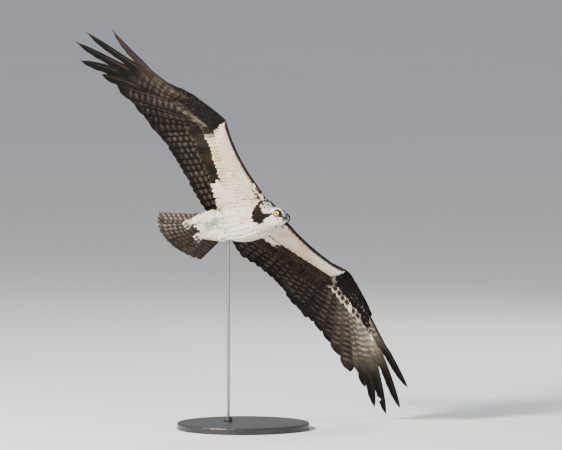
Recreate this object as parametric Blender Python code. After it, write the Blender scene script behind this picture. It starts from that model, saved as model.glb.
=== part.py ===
# Osprey in a banked glide, life size, held on a plain display stand.
#
# The bird is modelled in its own frame, x forward, y to its left and z up, with the origin at
# the middle of the torso. The empty bird_frame then carries it above the stand, heading,
# pitch and bank included. Each wing is drawn in plan, with y counted outwards from the body.

import math

import bmesh
import bpy
from mathutils import Matrix, Vector

# Driving dimensions, in metres and degrees

GAP = 0.0003

TORSO_HEIGHT = 0.600
TORSO_SHIFT = (0.0, -0.02)
HEADING = -49.8
PITCH_UP = 10.25
BANK_LEFT = 48.3

BASE_RADIUS = 0.19
BASE_THICKNESS = 0.018
BASE_BEVEL = 0.003
COLLAR_RADIUS = 0.012
COLLAR_HEIGHT = 0.014
ROD_RADIUS = 0.0045
ROD_PLACE = (-0.043, 0.031)
ROD_INTO_BASE = 0.012
ROD_TOP = 0.549

BODY_SIDES = 24
TAIL_FACE_X = -0.125
NECK_FACE_X = 0.100
# Each station is x, centre z, half width, half height
TORSO_STATIONS = (
    (TAIL_FACE_X, 0.008, 0.036, 0.023),
    (-0.105, 0.005, 0.043, 0.033),
    (-0.080, 0.002, 0.050, 0.042),
    (-0.050, -0.001, 0.056, 0.051),
    (-0.015, -0.003, 0.060, 0.058),
    (0.020, -0.003, 0.063, 0.061),
    (0.050, -0.002, 0.061, 0.060),
    (0.078, -0.001, 0.056, 0.056),
    (NECK_FACE_X, 0.000, 0.049, 0.050),
)

HEAD_CENTRE = (0.157, 0.008, -0.005)
HEAD_ROLL = 28.0
HEAD_DIP = 6.0
HEAD_YAW = -2.0
HEAD_BACK_X = -0.026
BILL_FACE_X = 0.0300
# Each station is x, centre z, half width, half height, in the head's own frame
HEAD_STATIONS = (
    (HEAD_BACK_X, 0.0000, 0.0270, 0.0270),
    (-0.0140, 0.0005, 0.0272, 0.0270),
    (-0.0020, 0.0000, 0.0266, 0.0258),
    (0.0080, -0.0008, 0.0248, 0.0238),
    (0.0170, -0.0018, 0.0216, 0.0207),
    (0.0240, -0.0026, 0.0172, 0.0168),
    (BILL_FACE_X, -0.0030, 0.0125, 0.0132),
)
EYE_CENTRE = (0.0135, 0.0165, 0.0030)
EYE_RADIUS = 0.0092
EYE_FORWARD = 22.0
LID_RADIUS = 0.0079
LID_THICKNESS = 0.0013

LEG_SIDES = 12
TAIL_FEATHERS = 12
TAIL_LENGTH = 0.200
TAIL_ROUNDING = 0.036
TAIL_SPREAD = (-23.0, 27.5)
TAIL_DROOP = 3.9
TAIL_ROOT_WIDTH = 0.060
TAIL_FEATHER_WIDTH = 0.030
TAIL_CORE_LENGTH = 0.050
TAIL_COVERTS = 5

ARM_QUILLS = 15
ARM_COVERTS = 9
HAND_COVERTS = 6
TAIL_COVERT_HALF_WIDTH = 0.013
ARM_COVERT_HALF_WIDTH = 0.0195
HAND_COVERT_HALF_WIDTH = 0.0155
SHAFT_THICKNESS = 0.0014
EDGE_THICKNESS = 0.0006
VANE_STEP = 0.0011
QUILL_SPACING = 0.0095

# Full width of each primary's leading and trailing vane, and where its fingered tip begins
PRIMARY_VANES = (
    (0.013, 0.040, 0.97),
    (0.013, 0.033, 0.97),
    (0.013, 0.034, 0.97),
    (0.013, 0.034, 0.97),
    (0.013, 0.034, 0.95),
    (0.012, 0.033, 0.82),
    (0.010, 0.034, 0.70),
    (0.010, 0.034, 0.63),
    (0.009, 0.032, 0.58),
    (0.006, 0.022, 0.54),
)
FINGER_WIDTH = 0.015

WINGS = {
    "right": {
        "side": -1,
        "wrist": (0.140, 0.301),
        "arm_plane": (0.142, 0.099, 0.019),
        "hand_plane": (0.180, 0.236, -0.023),
        "hand_edge_heading": -36.5,
        "primary_heading": (-72.9, -67.7, -62.6, -57.5, -55.0, -52.5, -50.3, -44.0, -38.1, -30.0),
        "primary_reach": (0.262, 0.277, 0.300, 0.321, 0.353, 0.406, 0.480, 0.501, 0.478, 0.410),
        "primary_bend": (0, 0, 0, 0, 0, -0.02, -0.05, 0.02, 0.06, 0.18),
        "primary_bow": (0, 0, 0, 0, 0, 0.003, 0.010, 0, 0, -0.014),
        "trailing_edge": (
            (0.362, -0.105),
            (0.295, -0.099),
            (0.253, -0.105),
            (0.193, -0.111),
            (0.117, -0.123),
            (0.055, -0.126),
        ),
    },
    "left": {
        "side": 1,
        "wrist": (0.139, 0.290),
        "arm_plane": (0.134, 0.040, 0.023),
        "hand_plane": (0.146, -0.125, 0.081),
        "hand_edge_heading": -8.0,
        "primary_heading": (-62.1, -53.9, -46.1, -40.0, -34.1, -27.8, -25.2, -21.4, -14.8, -7.2),
        "primary_reach": (0.258, 0.272, 0.295, 0.328, 0.376, 0.422, 0.491, 0.514, 0.489, 0.419),
        "primary_bend": (0, 0, 0, 0, 0, 0.01, 0.02, 0.03, 0.04, 0.05),
        "primary_bow": (0, 0, 0, 0, 0, 0, 0, 0, 0, 0),
        "trailing_edge": (
            (0.394, -0.107),
            (0.337, -0.111),
            (0.304, -0.101),
            (0.252, -0.100),
            (0.206, -0.111),
            (0.130, -0.137),
            (0.055, -0.122),
        ),
    },
}


# Materials and small modelling tools


def make_material(name, colour, roughness):
    material = bpy.data.materials.new(name)
    material.use_nodes = True
    shader = material.node_tree.nodes["Principled BSDF"]
    shader.inputs["Base Color"].default_value = (*colour, 1.0)
    shader.inputs["Roughness"].default_value = roughness
    material.diffuse_color = (*colour, 1.0)
    return material


def finish_mesh(name, shape):
    """Turns a bmesh into an object with its faces pointing outwards."""
    bmesh.ops.recalc_face_normals(shape, faces=shape.faces)
    mesh = bpy.data.meshes.new(name)
    shape.to_mesh(mesh)
    shape.free()
    thing = bpy.data.objects.new(name, mesh)
    bpy.context.scene.collection.objects.link(thing)
    return thing


def loft(name, rings):
    """A closed skin through rings of points, capped at both ends."""
    shape = bmesh.new()
    loops = [[shape.verts.new(point) for point in ring] for ring in rings]
    count = len(loops[0])
    for near, far in zip(loops, loops[1:]):
        for k in range(count):
            after = (k + 1) % count
            shape.faces.new((near[k], near[after], far[after], far[k]))
    shape.faces.new(loops[0])
    shape.faces.new(loops[-1])
    return finish_mesh(name, shape)


def ribbon(name, rows):
    """A thin closed plate; each row holds (middle point, thickness) pairs across the plate."""
    shape = bmesh.new()
    half = Vector((0, 0, 0.5))
    upper = [[shape.verts.new(p + half * t) for p, t in row] for row in rows]
    lower = [[shape.verts.new(p - half * t) for p, t in row] for row in rows]
    for skin in (upper, lower):
        for near, far in zip(skin, skin[1:]):
            for k in range(len(near) - 1):
                if len(far) == len(near):
                    shape.faces.new((near[k], near[k + 1], far[k + 1]))
                    shape.faces.new((near[k], far[k + 1], far[k]))
                else:
                    shape.faces.new((near[k], near[k + 1], far[0]))
    rim = [(row, 0) for row in range(len(rows))]
    rim += [(len(rows) - 1, k) for k in range(1, len(rows[-1]))]
    rim += [(row, len(rows[row]) - 1) for row in range(len(rows) - 2, -1, -1)]
    rim += [(0, k) for k in range(len(rows[0]) - 2, 0, -1)]
    for (i, j), (m, n) in zip(rim, rim[1:] + rim[:1]):
        shape.faces.new((upper[i][j], upper[m][n], lower[m][n]))
        shape.faces.new((upper[i][j], lower[m][n], lower[i][j]))
    return finish_mesh(name, shape)


def tube(name, path, radii, sides):
    """A tapering round bar along a path of points."""
    points = [Vector(p) for p in path]
    rings = []
    for k, point in enumerate(points):
        ahead = points[min(k + 1, len(points) - 1)]
        behind = points[max(k - 1, 0)]
        turn = (ahead - behind).to_track_quat("Z", "Y").to_matrix()
        ring = []
        for step in range(sides):
            angle = 2 * math.pi * step / sides
            spoke = Vector((math.cos(angle), math.sin(angle), 0)) * radii[k]
            ring.append(point + turn @ spoke)
        rings.append(ring)
    return loft(name, rings)


def ball(name, centre, radii, segments=12, rings=8):
    shape = bmesh.new()
    bmesh.ops.create_uvsphere(shape, u_segments=segments, v_segments=rings, radius=1.0)
    bmesh.ops.scale(shape, vec=radii, verts=shape.verts)
    bmesh.ops.translate(shape, vec=centre, verts=shape.verts)
    return finish_mesh(name, shape)


def box(name, matrix, size):
    shape = bmesh.new()
    bmesh.ops.create_cube(shape, size=1.0)
    bmesh.ops.scale(shape, vec=size, verts=shape.verts)
    bmesh.ops.transform(shape, matrix=matrix, verts=shape.verts)
    return finish_mesh(name, shape)


def swelled(thing, distance):
    """A copy of a piece grown by a distance along its vertex normals."""
    mesh = thing.data.copy()
    normals = [v.normal.copy() for v in mesh.vertices]
    for vertex, normal in zip(mesh.vertices, normals):
        vertex.co += normal * distance
    copy = bpy.data.objects.new(thing.name + "_swelled", mesh)
    bpy.context.scene.collection.objects.link(copy)
    return copy


def keep_largest(mesh):
    """Leaves only the closed surface that has the most faces, split into triangles.

    Slivers that touch it along a bare edge count as surfaces of their own, and go too.
    """
    shape = bmesh.new()
    shape.from_mesh(mesh)
    bmesh.ops.remove_doubles(shape, verts=shape.verts, dist=0.000001)
    bmesh.ops.dissolve_degenerate(shape, edges=shape.edges, dist=0.000001)
    bmesh.ops.triangulate(shape, faces=shape.faces)
    left = set(shape.faces)
    groups = []
    while left:
        group = set()
        front = [left.pop()]
        while front:
            face = front.pop()
            group.add(face)
            for edge in face.edges:
                if len(edge.link_faces) != 2:
                    continue
                for other in edge.link_faces:
                    if other in left:
                        left.remove(other)
                        front.append(other)
        groups.append(group)
    groups.sort(key=len)
    for group in groups[:-1]:
        bmesh.ops.delete(shape, geom=list(group), context="FACES")
    loose = [v for v in shape.verts if not v.link_faces]
    bmesh.ops.delete(shape, geom=loose, context="VERTS")
    shape.to_mesh(mesh)
    shape.free()


def combine(body, tools, operation, solver="EXACT"):
    """Joins tools to a body, or cuts them from it, in one Boolean, and removes them."""
    group = bpy.data.collections.new("tools")
    for tool in tools:
        group.objects.link(tool)
    boolean = body.modifiers.new("Boolean", "BOOLEAN")
    boolean.operation = operation
    boolean.operand_type = "COLLECTION"
    boolean.collection = group
    boolean.solver = solver
    graph = bpy.context.evaluated_depsgraph_get()
    made = bpy.data.meshes.new_from_object(body.evaluated_get(graph))
    body.modifiers.clear()
    body.data = made
    for tool in tools:
        bpy.data.objects.remove(tool)
    bpy.data.collections.remove(group)
    keep_largest(body.data)
    return body


def dress(thing, name, material, parent):
    """Gives a finished node its name, material and parent, and shades it smooth."""
    thing.name = name
    thing.data.name = name
    thing.data.materials.clear()
    thing.data.materials.append(material)
    thing.data.shade_smooth()
    thing.data.set_sharp_from_angle(angle=math.radians(50))
    thing.parent = parent


# The body: torso, neck and head


def body_ring(x, centre_z, half_width, half_height):
    ring = []
    for step in range(BODY_SIDES):
        angle = 2 * math.pi * step / BODY_SIDES
        y = half_width * math.cos(angle)
        z = centre_z + half_height * math.sin(angle)
        ring.append(Vector((x, y, z)))
    return ring


def head_matrix():
    turn = Matrix.Rotation(math.radians(HEAD_ROLL), 4, "X")
    turn = turn @ Matrix.Rotation(math.radians(HEAD_DIP), 4, "Y")
    turn = turn @ Matrix.Rotation(math.radians(HEAD_YAW), 4, "Z")
    return Matrix.Translation(HEAD_CENTRE) @ turn


def make_torso(rod_cutter):
    torso = loft("torso", [body_ring(*station) for station in TORSO_STATIONS])
    return combine(torso, [rod_cutter], "DIFFERENCE")


def make_neck():
    """The neck blends the torso's front face into the back of the turned head."""
    front = TORSO_STATIONS[-1]
    near = body_ring(front[0] + GAP, *front[1:])
    back = HEAD_STATIONS[0]
    matrix = head_matrix()
    far = [matrix @ p for p in body_ring(back[0] - GAP, *back[1:])]
    rings = []
    steps = 4
    for step in range(steps + 1):
        share = step / steps
        ease = share * share * (3 - 2 * share)
        ring = []
        for p, q in zip(near, far):
            along = p.lerp(q, share)
            swell = p.lerp(q, ease)
            ring.append(Vector((along.x, swell.y, swell.z)))
        rings.append(ring)
    return loft("neck", rings)


def eye_place(side):
    x, y, z = EYE_CENTRE
    return Vector((x, side * y, z))


def make_head():
    """The skull with lids and brows, eye sockets, and the line of the mouth."""
    head = loft("head", [body_ring(*station) for station in HEAD_STATIONS])
    added = []
    cutters = []
    for side in (-1, 1):
        centre = eye_place(side)
        look = Vector((math.sin(math.radians(EYE_FORWARD)), side * math.cos(math.radians(EYE_FORWARD)), 0))
        rise = math.sqrt(EYE_RADIUS**2 - LID_RADIUS**2) + 0.0003
        turn = look.to_track_quat("Z", "Y").to_matrix()
        rings = []
        count = 12
        for step in range(count):
            angle = 2 * math.pi * step / count
            out = turn @ Vector((math.cos(angle), math.sin(angle), 0))
            ring = []
            for k in range(5):
                around = 2 * math.pi * k / 5
                reach = LID_RADIUS + LID_THICKNESS * math.cos(around)
                ring.append(centre + out * reach + look * (rise + LID_THICKNESS * 1.3 * math.sin(around)))
            rings.append(ring)
        added.append(closed_loft("lid", rings))
        brow = ball("brow", centre + Vector((0.002, side * 0.0035, 0.0092)), (0.012, 0.0042, 0.0028), 10, 6)
        added.append(brow)
        cutters.append(ball("socket", centre, (EYE_RADIUS + GAP,) * 3, 14, 8))
        gape = Matrix.Translation((0.0235, side * 0.0150, -0.0085)) @ Matrix.Rotation(math.radians(14), 4, "Y")
        cutters.append(box("gape", gape, (0.017, 0.012, 0.0008)))
    combine(head, added, "UNION")
    combine(head, cutters, "DIFFERENCE")
    head.data.transform(head_matrix())
    return head


def closed_loft(name, rings):
    """A ring-shaped skin: the last ring joins the first."""
    shape = bmesh.new()
    loops = [[shape.verts.new(point) for point in ring] for ring in rings]
    count = len(loops[0])
    for near, far in zip(loops, loops[1:] + loops[:1]):
        for k in range(count):
            after = (k + 1) % count
            shape.faces.new((near[k], near[after], far[after], far[k]))
    return finish_mesh(name, shape)


def make_eye(side):
    eye = ball("eye", eye_place(side), (EYE_RADIUS,) * 3, 14, 8)
    eye.data.transform(head_matrix())
    return eye


def bill_ring(centre, tilt, half_width, half_height):
    """A ring across the bill at a centre point, tilted nose down by a number of degrees."""
    down = math.radians(tilt)
    up = Vector((math.sin(down), 0, math.cos(down)))
    ring = []
    for step in range(12):
        angle = 2 * math.pi * step / 12
        offset = Vector((0, half_width * math.cos(angle), 0)) + up * half_height * math.sin(angle)
        ring.append(Vector((centre[0], 0, centre[1])) + offset)
    return ring


def make_upper_bill():
    """The cere and the hooked upper bill, with the nostrils."""
    stations = (
        ((BILL_FACE_X + GAP, 0.0018), 0, 0.0098, 0.0077),
        ((0.0345, 0.0020), 4, 0.0090, 0.0077),
        ((0.0400, 0.0013), 14, 0.0078, 0.0072),
        ((0.0455, -0.0010), 32, 0.0065, 0.0060),
        ((0.0500, -0.0050), 55, 0.0050, 0.0044),
        ((0.0525, -0.0100), 75, 0.0036, 0.0031),
        ((0.0533, -0.0155), 90, 0.0022, 0.0020),
        ((0.0525, -0.0205), 100, 0.0006, 0.0006),
    )
    bill = loft("bill_upper", [bill_ring(*station) for station in stations])
    nostrils = []
    for side in (-1, 1):
        nostrils.append(ball("nostril", (0.0375, side * 0.0082, 0.0040), (0.0016, 0.0016, 0.0008), 8, 6))
    combine(bill, nostrils, "DIFFERENCE")
    bill.data.transform(head_matrix())
    return bill


def make_lower_bill():
    stations = (
        ((BILL_FACE_X + GAP, -0.0102), 0, 0.0088, 0.0036),
        ((0.0360, -0.0098), 6, 0.0074, 0.0033),
        ((0.0425, -0.0104), 16, 0.0052, 0.0026),
        ((0.0472, -0.0120), 28, 0.0024, 0.0014),
    )
    bill = loft("bill_lower", [bill_ring(*station) for station in stations])
    bill.data.transform(head_matrix())
    return bill


# Legs and feet, tucked back under the tail


# The line of each leg from hip to ankle
LEGS = {
    "right": ((-0.015, -0.024, -0.008), (-0.072, -0.047, -0.020), (-0.112, -0.054, -0.024), (-0.158, -0.050, -0.026)),
    "left": ((-0.005, 0.008, -0.028), (-0.060, 0.004, -0.044), (-0.100, 0.000, -0.042), (-0.142, -0.002, -0.040)),
}
LEG_RADII = (0.018, 0.019, 0.014, 0.008)


def make_leg(leg, torso):
    limb = tube("leg", leg, LEG_RADII, LEG_SIDES)
    return combine(limb, [swelled(torso, GAP)], "DIFFERENCE")


def make_foot(leg):
    """The foot with three toes trailing back, one folded under, and a curved claw on each."""
    start = Vector(leg[-1])
    along = (start - Vector(leg[-2])).normalized()
    down = Vector((0, 0, -1))
    side = along.cross(down).normalized()
    ankle = start + along * GAP
    foot = tube("foot", (ankle, ankle + along * 0.008, ankle + along * 0.016), (0.0066, 0.0080, 0.0050), 10)
    pieces = []
    for spread in (-0.42, 0.0, 0.42):
        toe_way = (along + side * spread).normalized()
        base = ankle + along * 0.008
        knuckle = base + toe_way * 0.020
        end = base + toe_way * 0.033 + down * 0.006
        pieces.append(tube("toe", (base, knuckle, end), (0.0048, 0.0044, 0.0036), 6))
        pieces.append(claw(end - toe_way * 0.002, toe_way, down))
    base = ankle + along * 0.006 + down * 0.002
    end = base + down * 0.012 + along * 0.004
    pieces.append(tube("toe", (base, base + down * 0.007, end), (0.0046, 0.0042, 0.0034), 6))
    pieces.append(claw(end - down * 0.002, down, along))
    return combine(foot, pieces, "UNION")


def claw(root, way, curl):
    """A claw that leaves along one direction and curls towards another."""
    path = []
    radii = (0.0030, 0.0025, 0.0016, 0.0004)
    bend = math.radians(95)
    reach = 0.017
    for k in range(4):
        angle = bend * k / 3
        path.append(root + way * reach * math.sin(angle) + curl * reach * (1 - math.cos(angle)) * 0.9)
    return tube("claw", path, radii, 5)


# Feathers


def place(height, side, spot, lift):
    return Vector((spot.x, side * spot.y, height(spot.x, spot.y) + lift))


def vane(name, wing_height, side, root, tip, rows, lifts, spacing, bend=0.0, bow=0.0):
    """One feather. Each row is (share of length, leading width, trailing width, edge set-back).

    The lifts are its heights over the surface at root and tip. The spacing to the next feather,
    at root and tip, sets how steeply the vane slopes across, so that each clears its neighbour.
    """
    root = Vector(root)
    axis = Vector(tip) - root
    way = axis.normalized()
    lead = Vector((way.y, -way.x))
    made = []
    for share, leading, trailing, back in rows:
        middle = root + axis * share + lead * bow * 4 * share * (1 - share)
        lift = lifts[0] + (lifts[1] - lifts[0]) * share + bend * axis.length * (share * share - share)
        slope = VANE_STEP / (spacing[0] + (spacing[1] - spacing[0]) * share)
        shaft = SHAFT_THICKNESS - 0.0006 * share
        made.append(
            [
                (place(wing_height, side, middle + lead * leading - way * back, lift + slope * leading), EDGE_THICKNESS),
                (place(wing_height, side, middle, lift), shaft),
                (place(wing_height, side, middle - lead * trailing - way * back, lift - slope * trailing), EDGE_THICKNESS),
            ]
        )
    return ribbon(name, made)


def leaf(name, wing_height, side, root, tip, half_width, lifts, spacing):
    """A covert: a short plate with two edges and a rounded tip, for the tiers over the quills."""
    root = Vector(root)
    axis = Vector(tip) - root
    way = axis.normalized()
    lead = Vector((way.y, -way.x))
    slope = VANE_STEP / spacing
    made = []
    for share, part in ((0.0, 0.5), (0.55, 1.0), (0.9, 0.75)):
        lift = lifts[0] + (lifts[1] - lifts[0]) * share
        row = []
        for offset in (half_width * part, -half_width * part):
            spot = root + axis * share + lead * offset
            row.append((place(wing_height, side, spot, lift + slope * offset), EDGE_THICKNESS))
        made.append(row)
    made.append([(place(wing_height, side, root + axis, lifts[1]), EDGE_THICKNESS)])
    return ribbon(name, made)


def smooth(share):
    share = min(max(share, 0.0), 1.0)
    return share * share * (3 - 2 * share)


def along_table(table, y):
    """Reads a value between the points of a short table of (y, value), outermost first."""
    for (outer, first), (inner, second) in zip(table, table[1:]):
        if y >= inner:
            break
    share = min(max((outer - y) / (outer - inner), 0.0), 1.0)
    return first + (second - first) * smooth(share)


ARM_CAMBER = 0.006
CORE_EDGE_DIP = 0.017
SHOULDER_EDGE = (0.106, 0.045)
WRIST_EDGE_LEAD = 0.008
WRIST_BLEND = 0.05


def wing_surface(wing):
    """The height of the wing's middle surface over its plan, from the arm's and hand's planes."""
    wx, wy = wing["wrist"]
    sy, sx = wing["trailing_edge"][0]
    reach = math.hypot(sx - wx, sy - wy)

    def height(x, y):
        beyond = ((x - wx) * (sy - wy) - (y - wy) * (sx - wx)) / reach
        share = smooth(0.5 + beyond / WRIST_BLEND)
        a, b, c = wing["arm_plane"]
        arm = a * x + b * y + c
        a, b, c = wing["hand_plane"]
        hand = a * x + b * y + c
        chord = min(max((leading_edge(wing, y) - x) / 0.24, 0.0), 1.0)
        arm += ARM_CAMBER * 4 * chord * (1 - chord)
        return arm + (hand - arm) * share

    return height


def leading_edge(wing, y):
    """The x of the arm's leading edge, which dips between shoulder and wrist."""
    x0, y0 = SHOULDER_EDGE
    x1, y1 = wing["wrist"][0] + WRIST_EDGE_LEAD, wing["wrist"][1]
    share = min(max((y - y0) / (y1 - y0), 0.0), 1.0)
    return x0 + (x1 - x0) * share - CORE_EDGE_DIP * 4 * share * (1 - share)


def heading_vector(degrees):
    """A direction in plan, counted from straight outwards and positive forwards."""
    angle = math.radians(degrees)
    return Vector((math.sin(angle), math.cos(angle)))


def wing_core(wing, height, stations, name):
    """The flesh and small coverts of the wing: a rounded leading edge that thins to the rear.

    Each station is (leading point, rear point, thickness).
    """
    profile = ((0.0, 0.0), (0.05, 0.62), (0.18, 1.0), (0.42, 0.92), (0.72, 0.60), (1.0, 0.13))
    rings = []
    for lead, rear, thickness in stations:
        lead, rear = Vector(lead), Vector(rear)
        upper = []
        lower = []
        for share, part in profile:
            spot = lead.lerp(rear, share)
            z = height(spot.x, spot.y)
            y = wing["side"] * spot.y
            upper.append(Vector((spot.x, y, z + thickness / 2 * part)))
            lower.append(Vector((spot.x, y, z - thickness / 2 * part)))
        rings.append(upper + lower[:0:-1])
    return loft(name, rings)


def splitter(wing, keep_hand):
    """A block that covers one side of the upright cut from the wrist to the rear edge."""
    wx, wy = wing["wrist"]
    sy, sx = wing["trailing_edge"][0]
    across = Vector((sx - wx, sy - wy)).normalized()
    outward = Vector((-across.y, across.x))
    if outward.y < 0:
        outward = -outward
    away = -outward if keep_hand else outward
    middle = Vector((wx, wy)) + away * (0.5 - GAP / 2)
    turn = math.atan2(wing["side"] * across.y, across.x)
    matrix = Matrix.Translation((middle.x, wing["side"] * middle.y, 0)) @ Matrix.Rotation(turn, 4, "Z")
    return box("splitter", matrix, (2.0, 1.0, 1.0))


def rear_line(wing, y):
    """The rear edge of the arm's flesh and small coverts, at a distance out along the wing."""
    wx, wy = wing["wrist"]
    body = Vector((-0.030, 0.030))
    elbow = Vector((0.030, 0.165))
    wrist = Vector((wx - 0.050, wy + 0.004))
    if y <= elbow.y:
        return body.lerp(elbow, (y - body.y) / (elbow.y - body.y))
    return elbow.lerp(wrist, min((y - elbow.y) / (wrist.y - elbow.y), 1.0))


def arm_stations(wing):
    """The arm's core is thickest at the body, and runs past the cut at the wrist."""
    wx, wy = wing["wrist"]
    stations = []
    for y, thickness in ((0.030, 0.030), (0.075, 0.027), (0.120, 0.023), (0.165, 0.020), (0.210, 0.018), (0.255, 0.016)):
        stations.append(((leading_edge(wing, y), y), rear_line(wing, y), thickness))
    lead = Vector((wx + WRIST_EDGE_LEAD, wy))
    rear = rear_line(wing, wy + 0.004)
    beyond = heading_vector(wing["hand_edge_heading"]) * 0.020
    stations.append((lead, rear, 0.015))
    stations.append((lead + beyond, rear + beyond, 0.014))
    return stations


# Each tier of coverts: depth of its roots in the core, how far it reaches from the core's rear
# to the trailing edge, the extra reach at the body, and its heights at root and tip
COVERT_TIERS = (
    ("under_greater", 0.62, 0.42, 0.06, (-0.0026, -0.0032)),
    ("under_median", 0.40, 0.13, 0.20, (-0.0040, -0.0056)),
    ("upper_greater", 0.60, 0.44, 0.00, (0.0022, 0.0026)),
    ("upper_median", 0.40, 0.16, 0.00, (0.0038, 0.0050)),
)


def arm_line(wing, share, depth):
    """A point of the arm's core at a share out from the body and a depth back from its edge."""
    y = 0.040 + (wing["wrist"][1] - 0.004 - 0.040) * share
    lead = Vector((leading_edge(wing, y), y))
    return lead.lerp(rear_line(wing, y), depth)


def rear_tip(wing, share):
    """A point of the arm's trailing edge at a share out from the body."""
    table = wing["trailing_edge"]
    y = 0.052 + (table[0][0] - 0.052) * share
    return Vector((along_table(table, y), y))


def make_arm(name, wing, torso, neck):
    """The arm: a core of flesh and small coverts, its quills, and two tiers of coverts each side."""
    height = wing_surface(wing)
    side = wing["side"]
    core = wing_core(wing, height, arm_stations(wing), name)
    pieces = []
    reach = wing["trailing_edge"][0][0] - 0.052
    for k in range(ARM_QUILLS):
        share = (k + 0.5) / (ARM_QUILLS - 0.5)
        rows = (
            (0.0, 0.003, 0.004, 0.0),
            (0.40, 0.010, 0.018, 0.0),
            (0.92, 0.011, 0.020, 0.0),
            (1.0, 0.006, 0.010, 0.006),
        )
        spacing = (0.016, reach / ARM_QUILLS)
        root = arm_line(wing, share, 0.55)
        pieces.append(vane("quill", height, side, root, rear_tip(wing, share), rows, (0, 0), spacing))
    for word, depth, fraction, extra, lifts in COVERT_TIERS:
        for k in range(ARM_COVERTS):
            share = (k + 0.5) / ARM_COVERTS
            root = arm_line(wing, share, depth)
            rear = arm_line(wing, share, 1.0)
            tip = rear.lerp(rear_tip(wing, share), fraction + extra * (1 - share) ** 2)
            spacing = 0.27 / ARM_COVERTS
            pieces.append(leaf(word, height, side, root, tip, ARM_COVERT_HALF_WIDTH, lifts, spacing))
    combine(core, pieces, "UNION")
    combine(core, [splitter(wing, False), swelled(torso, GAP), swelled(neck, GAP)], "DIFFERENCE")
    return core


def hand_edge(wing, reach):
    """A point of the hand's leading edge, which bulges forward a little past the wrist."""
    way = heading_vector(wing["hand_edge_heading"])
    bulge = 0.006 * math.sin(math.pi * min(max(reach / 0.20, 0.0), 1.0))
    forward = Vector((way.y, -way.x))
    return Vector((wing["wrist"][0] + WRIST_EDGE_LEAD, wing["wrist"][1])) + way * reach + forward * bulge


def hand_stations(wing):
    behind = heading_vector(wing["hand_edge_heading"] - 78)
    stations = []
    for reach, depth, thickness in (
        (-0.015, 0.088, 0.015),
        (0.020, 0.070, 0.014),
        (0.055, 0.046, 0.012),
        (0.090, 0.034, 0.010),
        (0.125, 0.022, 0.007),
        (0.160, 0.010, 0.003),
    ):
        lead = hand_edge(wing, reach)
        stations.append((lead, lead + behind * depth, thickness))
    return stations


def primary_ends(wing, k):
    """Root and tip, in plan, of primary number k, counted from 0 at the wrist."""
    behind = heading_vector(wing["hand_edge_heading"] - 90)
    root = hand_edge(wing, 0.012 + QUILL_SPACING * k) + behind * 0.012
    tip = Vector(wing["wrist"]) + heading_vector(wing["primary_heading"][k]) * wing["primary_reach"][k]
    return root, tip


def primary_rows(k):
    leading, trailing, notch = PRIMARY_VANES[k]
    rows = [(0.0, 0.002, 0.003, 0.0), (0.12, leading * 0.6, trailing * 0.55, 0.0), (0.35, leading, trailing * 0.9, 0.0)]
    if notch < 0.9:
        rows.append((notch, leading, trailing, 0.0))
        rows.append((notch + 0.05, leading * 0.8, FINGER_WIDTH, 0.0))
        rows.append((0.92, leading * 0.6, FINGER_WIDTH * 0.75, 0.0))
        rows.append((1.0, leading * 0.2, FINGER_WIDTH * 0.25, 0.010))
    else:
        rows.append((0.7, leading, trailing, 0.0))
        rows.append((0.93, leading * 0.85, trailing * 0.8, 0.0))
        rows.append((1.0, leading * 0.5, trailing * 0.45, 0.010))
    return rows


# Each tier of the hand's coverts: depth of its roots, share of the primary that it covers, heights
HAND_TIERS = (
    ("under_primary", 0.45, 0.40, (-0.0022, -0.0034)),
    ("under_lesser", 0.25, 0.22, (-0.0036, -0.0054)),
    ("upper_primary", 0.45, 0.42, (0.0018, 0.0026)),
    ("upper_lesser", 0.25, 0.22, (0.0034, 0.0046)),
)


def make_hand(name, wing):
    """The hand: its core, ten primaries, and two tiers of coverts each side."""
    height = wing_surface(wing)
    side = wing["side"]
    core = wing_core(wing, height, hand_stations(wing), name)
    pieces = []
    for k in range(10):
        root, tip = primary_ends(wing, k)
        spacing = (QUILL_SPACING, 0.036 if k < 5 else 0.055)
        curve = wing["primary_bend"][k], wing["primary_bow"][k]
        pieces.append(vane("primary", height, side, root, tip, primary_rows(k), (0, 0), spacing, *curve))
    for word, depth, cover, lifts in HAND_TIERS:
        for k in range(HAND_COVERTS):
            near = 9.4 * (k + 0.5) / HAND_COVERTS
            low = min(int(near), 8)
            root_a, tip_a = primary_ends(wing, low)
            root_b, tip_b = primary_ends(wing, low + 1)
            quill_root = root_a.lerp(root_b, near - low)
            quill_tip = tip_a.lerp(tip_b, near - low)
            edge = hand_edge(wing, 0.012 + QUILL_SPACING * near)
            root = edge.lerp(quill_root, depth * 2)
            tip = quill_root.lerp(quill_tip, cover)
            half = HAND_COVERT_HALF_WIDTH * (1.1 - 0.7 * near / 9.4)
            pieces.append(leaf(word, height, side, root, tip, half, lifts, 0.014))
    combine(core, pieces, "UNION")
    combine(core, [splitter(wing, True)], "DIFFERENCE")
    return core


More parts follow.
